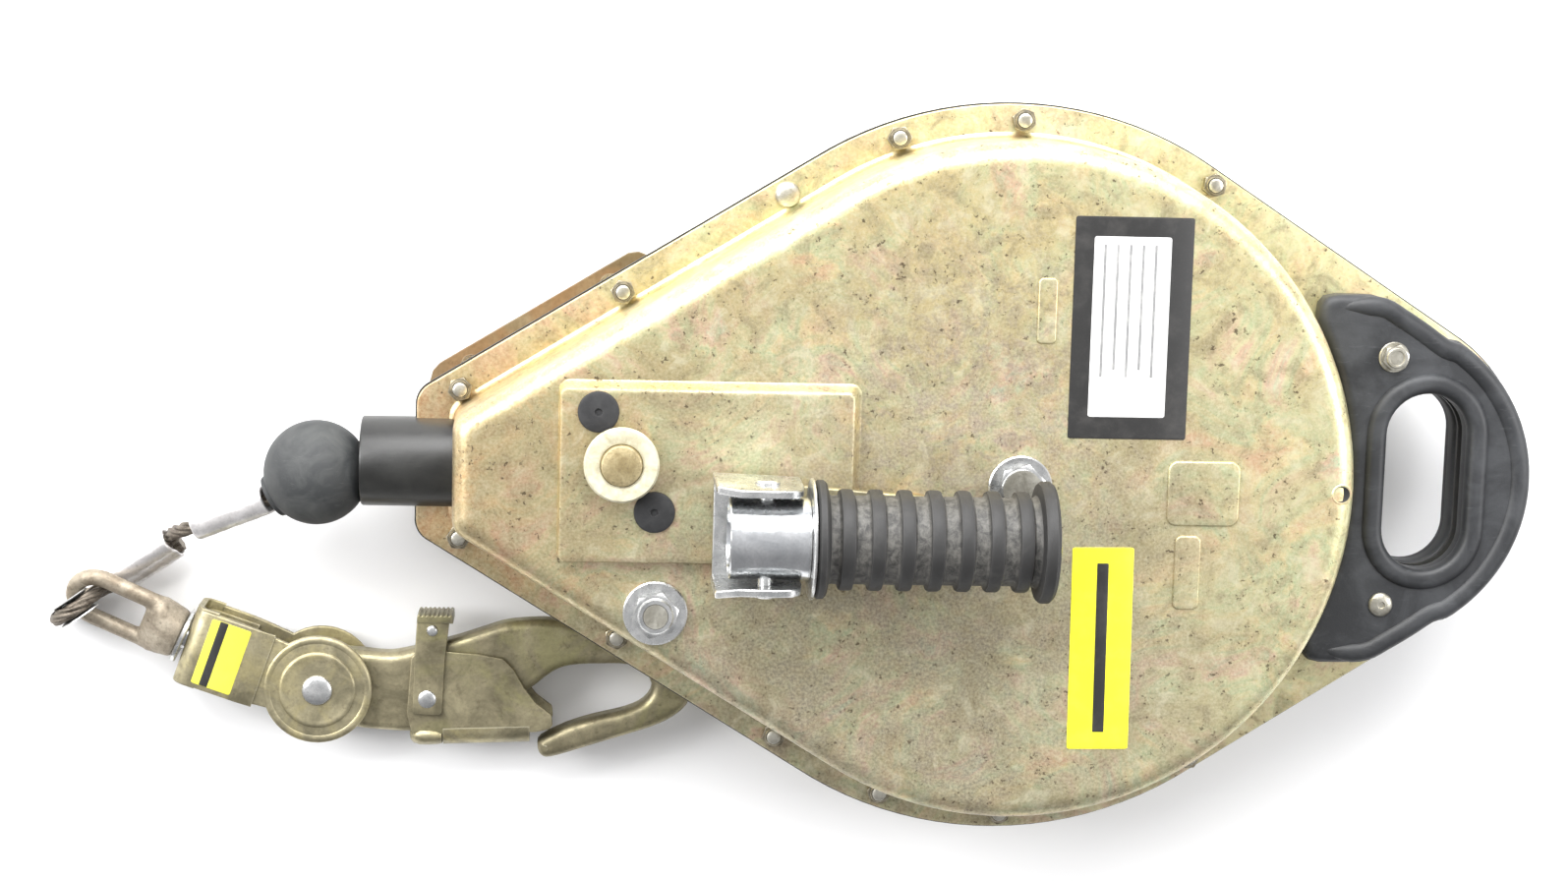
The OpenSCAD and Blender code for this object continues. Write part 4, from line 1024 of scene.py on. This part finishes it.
big_nut("centre_nut", 0, 0, 94, 8.0, 13.2, 18.4, "main_shaft_nut", 4.4, 101.8)
big_nut("tie_nut", -148, -54, 94, 5.0, 13.2, 17.0, "tie_bolt_nut", 5.4, 103)

# nozzle, a black moulding with a flared mouth
cased(lathe("nozzle_sleeve", [(12.2, -265.0), (14.5, -269.2), (16.6, -270.7), (17.6, -271.0),
    (18.5, -270.7), (18.9, -270.0), (18.9, -229.0), (21.4, -229.0), (21.5, -224.2), (18.0, -224.0),
    (12.2, -242.0)], (0, 0, 47), (1, 0, 0), NOZZLE, 72, 40), "rubber_black", "nozzle_bushing")


# ---------- carry handle
def handle_loop():
    up = arc(0, 0, 146.5, 6, 27.4, 10)
    up += [(130.0, 70.5), (130.6, 75.2), (133.0, 78.0), (137.5, 79.0)]
    up += [(146, 79.0), (153, 78.8), (159.5, 77.0), (166.0, 73.4), (176.0, 67.2), (186.5, 60.6)]
    up += arc(154, 0, 70.3, 58.5, 6, 14)
    return [(x, -y) for x, y in up[::-1]] + [(146.5, 0)] + up + [(224.3, 0)]


def handle_half(tag, sgn, z_in, node):
    z = lambda a, b: sorted((z_in + sgn * a, z_in + sgn * b))
    out = handle_loop()
    main = plate(f"handle_{tag}_moulding", [out, slot_loop(0.2)], *z(0.0, 12.6), HANDLE, 4.0, 5,
        sharp=50)
    bead = [(136.0, 68.0), (139.5, 73.0), (148, 74.2), (157, 73.4), (164, 69.6), (174, 63.4),
        (184, 56.6)] + arc(154, 0, 65.4, 57, 0, 14)
    bead += [(x, -y) for x, y in bead[-2::-1]]
    bm = bmesh.new()
    bead = resample([(x, y, z_in + sgn * 11.0) for x, y in bead], 3.0)
    grow = [4.4 * min(1.0, 0.15 + k / 7, 0.15 + (len(bead) - 1 - k) / 7) for k in range(len(bead))]
    sweep_into(bm, bead, grow, Matrix.Identity(4), 20, 0.78)
    rim = finish_mesh(f"handle_{tag}_rim", bm, HANDLE, 60)
    lip = plate(f"handle_{tag}_lip", [slot_loop(9.0), slot_loop(0.1)], *z(6.0, 15.0), HANDLE, 3.6,
        6, sharp=50)
    own_all((main, rim, lip), "casing", "handle_black", node)


handle_half("front", 1, 50.0, "handle_front")
handle_half("rear", -1, 44.0, "handle_rear")


def handle_fixings():
    bm = bmesh.new()
    lathe_into(bm, [(3, 62.2), (6.2, 62.2), (6.5, 62.5), (6.5, 63.0), (6.2, 63.3), (3, 63.3)],
        at(162, 53), 40)
    hex_into(bm, 162, 53, 63.3, 3.2, 10, 0.8, 3.0)
    dome_into(bm, 162, 53, 45, 66.6, 3.0)
    lathe_into(bm, [(0, 40), (3, 40), (3, 62.2), (5.2, 62.4)] + dome(5.2, 62.9, 1.9, 72, 9)
        + [(1.6, 64.6), (1.3, 63.7), (0, 63.7)], at(162, -53), 40)
    for y in (53, -53):
        lathe_into(bm, [(0, 29.2), (4.6, 29.2), (5.2, 29.8), (5.2, 32.5), (0, 32.5)], at(162, y),
            6)
    return finish_mesh("handle_fixing_set", bm, BOLT, 30)


cased(handle_fixings(), "bolt_steel", "handle_fasteners")


# ---------- labels, blank
def flat_label(name, x0, x1, y0, y1, z0, z1, material, slot, node=None, spin=0.0, r=1.0):
    m = at((x0 + x1) / 2, (y0 + y1) / 2) @ rot(spin, "Z")
    hx, hy = (x1 - x0) / 2, (y1 - y0) / 2
    ob = plate(name, [box_loop(-hx, -hy, hx, hy, r, 4)], z0, z1, material, 0.1, 1, m)
    cased(ob, slot, *([node] if node else []))


flat_label("rating_panel", 18.7, 67.3, 20.6, 111.3, 93.9, 94.3, LABEL_BLACK, "label_white",
    "rating_label")
flat_label("rating_panel_inner", 26.6, 58.2, 29.6, 103.2, 94.2, 94.42, LABEL_WHITE, "label_white")
for k in range(5):
    flat_label(f"rating_line_{k}", 30.6 + k * 5.2, 31.7 + k * 5.2, 46 + 3 * (k % 2), 100, 94.35,
        94.5, LABEL_GREY, "label_white", r=0.3)
flat_label("notice_panel", 23.2, 48.7, -109.1, -24.5, 93.9, 94.3, STICKER, "sticker_yellow",
    "warning_sticker", 0.6)
flat_label("notice_bar", 33.6, 38.4, -102.0, -31.0, 94.2, 94.42, LABEL_BLACK, "sticker_yellow",
    None, 0.6, 0.4)

# ---------- selector
SEL = (-163, 8.5)
own(lathe("selector_post", [(0, 64), (11, 64), (11, 67), (8.4, 67), (8.4, 108.9), (8.0, 109.7),
    (7.2, 110.0), (0, 110.0)], (*SEL, 0), (0, 0, 1), SELECTOR, 56, 35), "selector_body",
    "zinc_yellow", "selector_pin")
own(lathe("selector_collar", [(8.7, 105.0), (14.6, 105.0), (15.2, 105.6), (15.2, 107.6),
    (14.4, 108.4), (9.6, 108.6), (8.7, 108.0)], (*SEL, 0), (0, 0, 1), CREAM, 72, 40),
    "selector_body", "selector_cream", "selector_ring")
discs = bmesh.new()
for x, y in ((-172.5, 29), (-149.3, -11.5)):
    lathe_into(discs, [(0, 100.6), (1.5, 100.6), (1.6, 101.5), (7.4, 101.8), (8.2, 101.5),
        (8.4, 100.9), (8.4, 99.9), (0, 99.9)][::-1], at(x, y), 40)
cased(finish_mesh("rubber_plug_set", discs, DISC, 40), "rubber_black", "rubber_discs")
cased(lathe("face_hole_eyelet", [(3.3, 92.0), (4.3, 92.0), (4.3, 93.9), (3.9, 94.25), (3.4, 94.2),
    (3.3, 93.8)], (133.6, -1, 0), (0, 0, 1), ZINC, 40), "zinc_yellow")
# Painted shade: a black dish in the eyelet stands in for the dark inside of the hole.
cased(lathe("face_hole_dark", [(0, 92.0), (3.35, 92.0), (3.35, 94.0), (2.6, 93.7), (0, 93.5)],
    (133.6, -1, 0), (0, 0, 1), GASKET, 40), "rubber_black")

# ---------- crank
GRIP_Y, GRIP_Z = -16.0, 132.0


def grip_profile():
    pts = [(6.1, 0.0), (22.6, 0.0), (23.5, 0.9), (23.5, 3.0), (22.4, 4.2), (17.9, 5.2),
        (17.4, 6.4)]
    for i in range(7):
        x = 9 + i * 11.6
        pts += [(17.5, x - 0.6), (18.2, x + 0.1), (19.6, x + 0.5), (20.0, x + 1.4),
            (20.0, x + 4.6), (19.6, x + 5.5), (18.2, x + 5.9), (17.5, x + 6.6)]
    pts += [(17.6, 86.4), (18.4, 87.6), (23.2, 88.4), (24.2, 89.6), (24.2, 92.6), (23.0, 94.0),
        (10.8, 94.0), (10.6, 91.2), (6.1, 91.0)]
    return pts


own(lathe("crank_grip", grip_profile(), (-87, GRIP_Y, GRIP_Z), (1, 0, 0), GRIP, 96, 40),
    "grip_body", "grip_black", "grip")
own(lathe("grip_plate", [(6.1, 0.0), (23.4, 0.0), (24.0, 0.5), (24.0, 1.1), (23.4, 1.5),
    (6.1, 1.5)], (-89, GRIP_Y, GRIP_Z), (1, 0, 0), BRIGHT, 80), "handle_body", "chrome",
    "grip_washer")


def spindle_piece():
    """Bright tube, flared at its open end, with the rod that carries the grip."""
    bm = bmesh.new()
    m = basis((0, GRIP_Y, GRIP_Z), (1, 0, 0))
    lathe_into(bm, [(0, -93.8), (13.0, -94.0), (13.4, -118.0), (13.9, -121.0), (15.9, -121.0),
        (16.3, -120.5), (16.1, -118.0), (15.8, -114.5), (15.8, -93.4), (16.3, -90.6),
        (16.1, -89.3), (6.0, -89.2), (6.0, 7.6), (8.4, 7.8), (9.0, 8.3), (9.0, 9.4), (8.2, 10.0),
        (0, 10.0)], m, 72)
    return finish_mesh("handle_tube", bm, CHROME, 40)


own(spindle_piece(), "handle_body", "chrome", "handle_spindle")


def clevis_piece():
    """Bent channel whose two ears hold the handle's fold pin; the ears flare at the open end."""
    bm = bmesh.new()
    for s, y0 in ((-1, -37.0), (1, 2.0)):
        out = rounded([(-126.4, 106.5, 1), (-91.4, 106.5, 1), (-91.4, 128, 3), (-93, 144.5, 6),
            (-103, 146, 8), (-117, 145, 6), (-126.4, 143, 1.5)], 5)
        rings = []
        for off, dy in ((0.5, 0.0), (0.0, 0.5), (0.0, 2.5), (0.5, 3.0)):
            ring = []
            for x, z in inset(out, off):
                flare = 1.4 * max(0.0, (-116 - x) / 10) ** 2
                ring.append(Vector((x, y0 + dy + s * flare * 0.9, z)))
            rings.append(ring)
        add_rings(bm, rings)
    ob = finish_mesh("crank_clevis_ears", bm, BRIGHT, 40)
    base = plate("crank_clevis_base", [box_loop(-126, -36.9, -91, 4.9, 2)], 106.5, 109.5, BRIGHT,
        0.7)
    return ob, base


own_all(clevis_piece(), "crank_body", "bolt_steel", "crank_clevis")
own(lathe("crank_fold_pin", [(0, -23.4), (4.2, -23.4), (5.0, -22.8), (5.0, -21.0), (3.0, -21.0),
    (3.0, 21.2), (5.0, 21.2), (5.0, 22.8), (4.2, 23.4), (0, 23.4)], (-106, -16, 132), (0, 1, 0),
    BRIGHT, 36), "crank_body", "bolt_steel", "fold_pin")
own(plate("crank_lever", [arc(-44, -16, 13.8, -90, 90, 24) + [(-92, 1.3), (-122, 1.3),
    (-125.4, -0.6), (-125.8, -4), (-125.8, -28), (-125.4, -31.4), (-122, -33.3), (-92, -33.3)]],
    102.2, 106.5, FRAME, 0.9), "crank_body", "bolt_steel", "crank_arm")

# ---------- CAD nodes that stay
KEPT = ((GASKET, "shell_gasket"), (BRACKET, "mounting_bracket"), (SPRING, "mainspring"),
    (BRONZE, "crank_bushing"), (BRIGHT, "crank_nut"), (ROPE, "rope_pack lifeline_inner"),
    (BOLT, "main_shaft tie_bolt pawl_pins crank_shaft"),
    (STEEL,
    "rear_frame_plate front_frame_plate frame_pillars spring_case spring_cover brake_ring"),
    (STEEL, "drum spring_arbor pawl_a pawl_b pinion retrieval_gear"))
for material, names in KEPT:
    for node in names.split():
        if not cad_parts[node].data.materials:
            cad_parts[node].data.materials.append(material)
        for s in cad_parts[node].material_slots:
            s.material = material


# ---------- floor and light
def make_floor():
    m = Mat("floor_paper")
    a = m.noise(2.5, 4, 0.6)
    m.bump(m.noise(400, 3, 0.6), 0.0003, 0.05)
    mat = m.done(m.mix(a, (0.86, 0.86, 0.865), (0.90, 0.90, 0.90)), 0.75)
    bm = bmesh.new()
    bmesh.ops.create_grid(bm, x_segments=2, y_segments=2, size=4.0)
    floor = finish_mesh("floor", bm, mat)
    floor.location = (0, 0, -0.0004)


def area_light(name, loc, target, size, power, colour=(1, 1, 1)):
    data = bpy.data.lights.new(name, "AREA")
    data.shape, data.size, data.size_y = "RECTANGLE", size[0], size[1]
    data.energy, data.color = power, colour
    ob = bpy.data.objects.new(name, data)
    scene.collection.objects.link(ob)
    ob.location = loc
    ob.rotation_euler = (Vector(target) - Vector(loc)).to_track_quat("-Z", "Y").to_euler()


make_floor()


def make_world():
    """Soft room: bright towards +Y and dim behind, so that bent metal shows its shape."""
    world = bpy.data.worlds.new("soft_room")
    scene.world = world
    world.use_nodes = True
    t = world.node_tree
    back = t.nodes["Background"]
    co, sep = t.nodes.new("ShaderNodeTexCoord"), t.nodes.new("ShaderNodeSeparateXYZ")
    ramp = t.nodes.new("ShaderNodeValToRGB")
    span = t.nodes.new("ShaderNodeMapRange")
    t.links.new(co.outputs["Generated"], sep.inputs[0])
    t.links.new(sep.outputs[1], span.inputs[0])
    span.inputs[1].default_value, span.inputs[2].default_value = -1.0, 1.0
    t.links.new(span.outputs[0], ramp.inputs["Fac"])
    for el, (pos, v) in zip(ramp.color_ramp.elements, ((0.15, 0.30), (0.92, 1.0))):
        el.position, el.color = pos, (v, v, v * 1.02, 1.0)
    t.links.new(ramp.outputs["Color"], back.inputs[0])
    back.inputs[1].default_value = 1.16


make_world()
area_light("key_top", (-0.2, 1.7, 1.25), (0, 0.05, 0), (2.6, 1.4), 98)
area_light("fill_left", (-1.6, 0.5, 1.1), (-0.1, 0, 0), (0.9, 0.9), 30)
area_light("fill_right", (1.7, 0.2, 1.3), (0.1, 0, 0), (0.9, 0.9), 22)
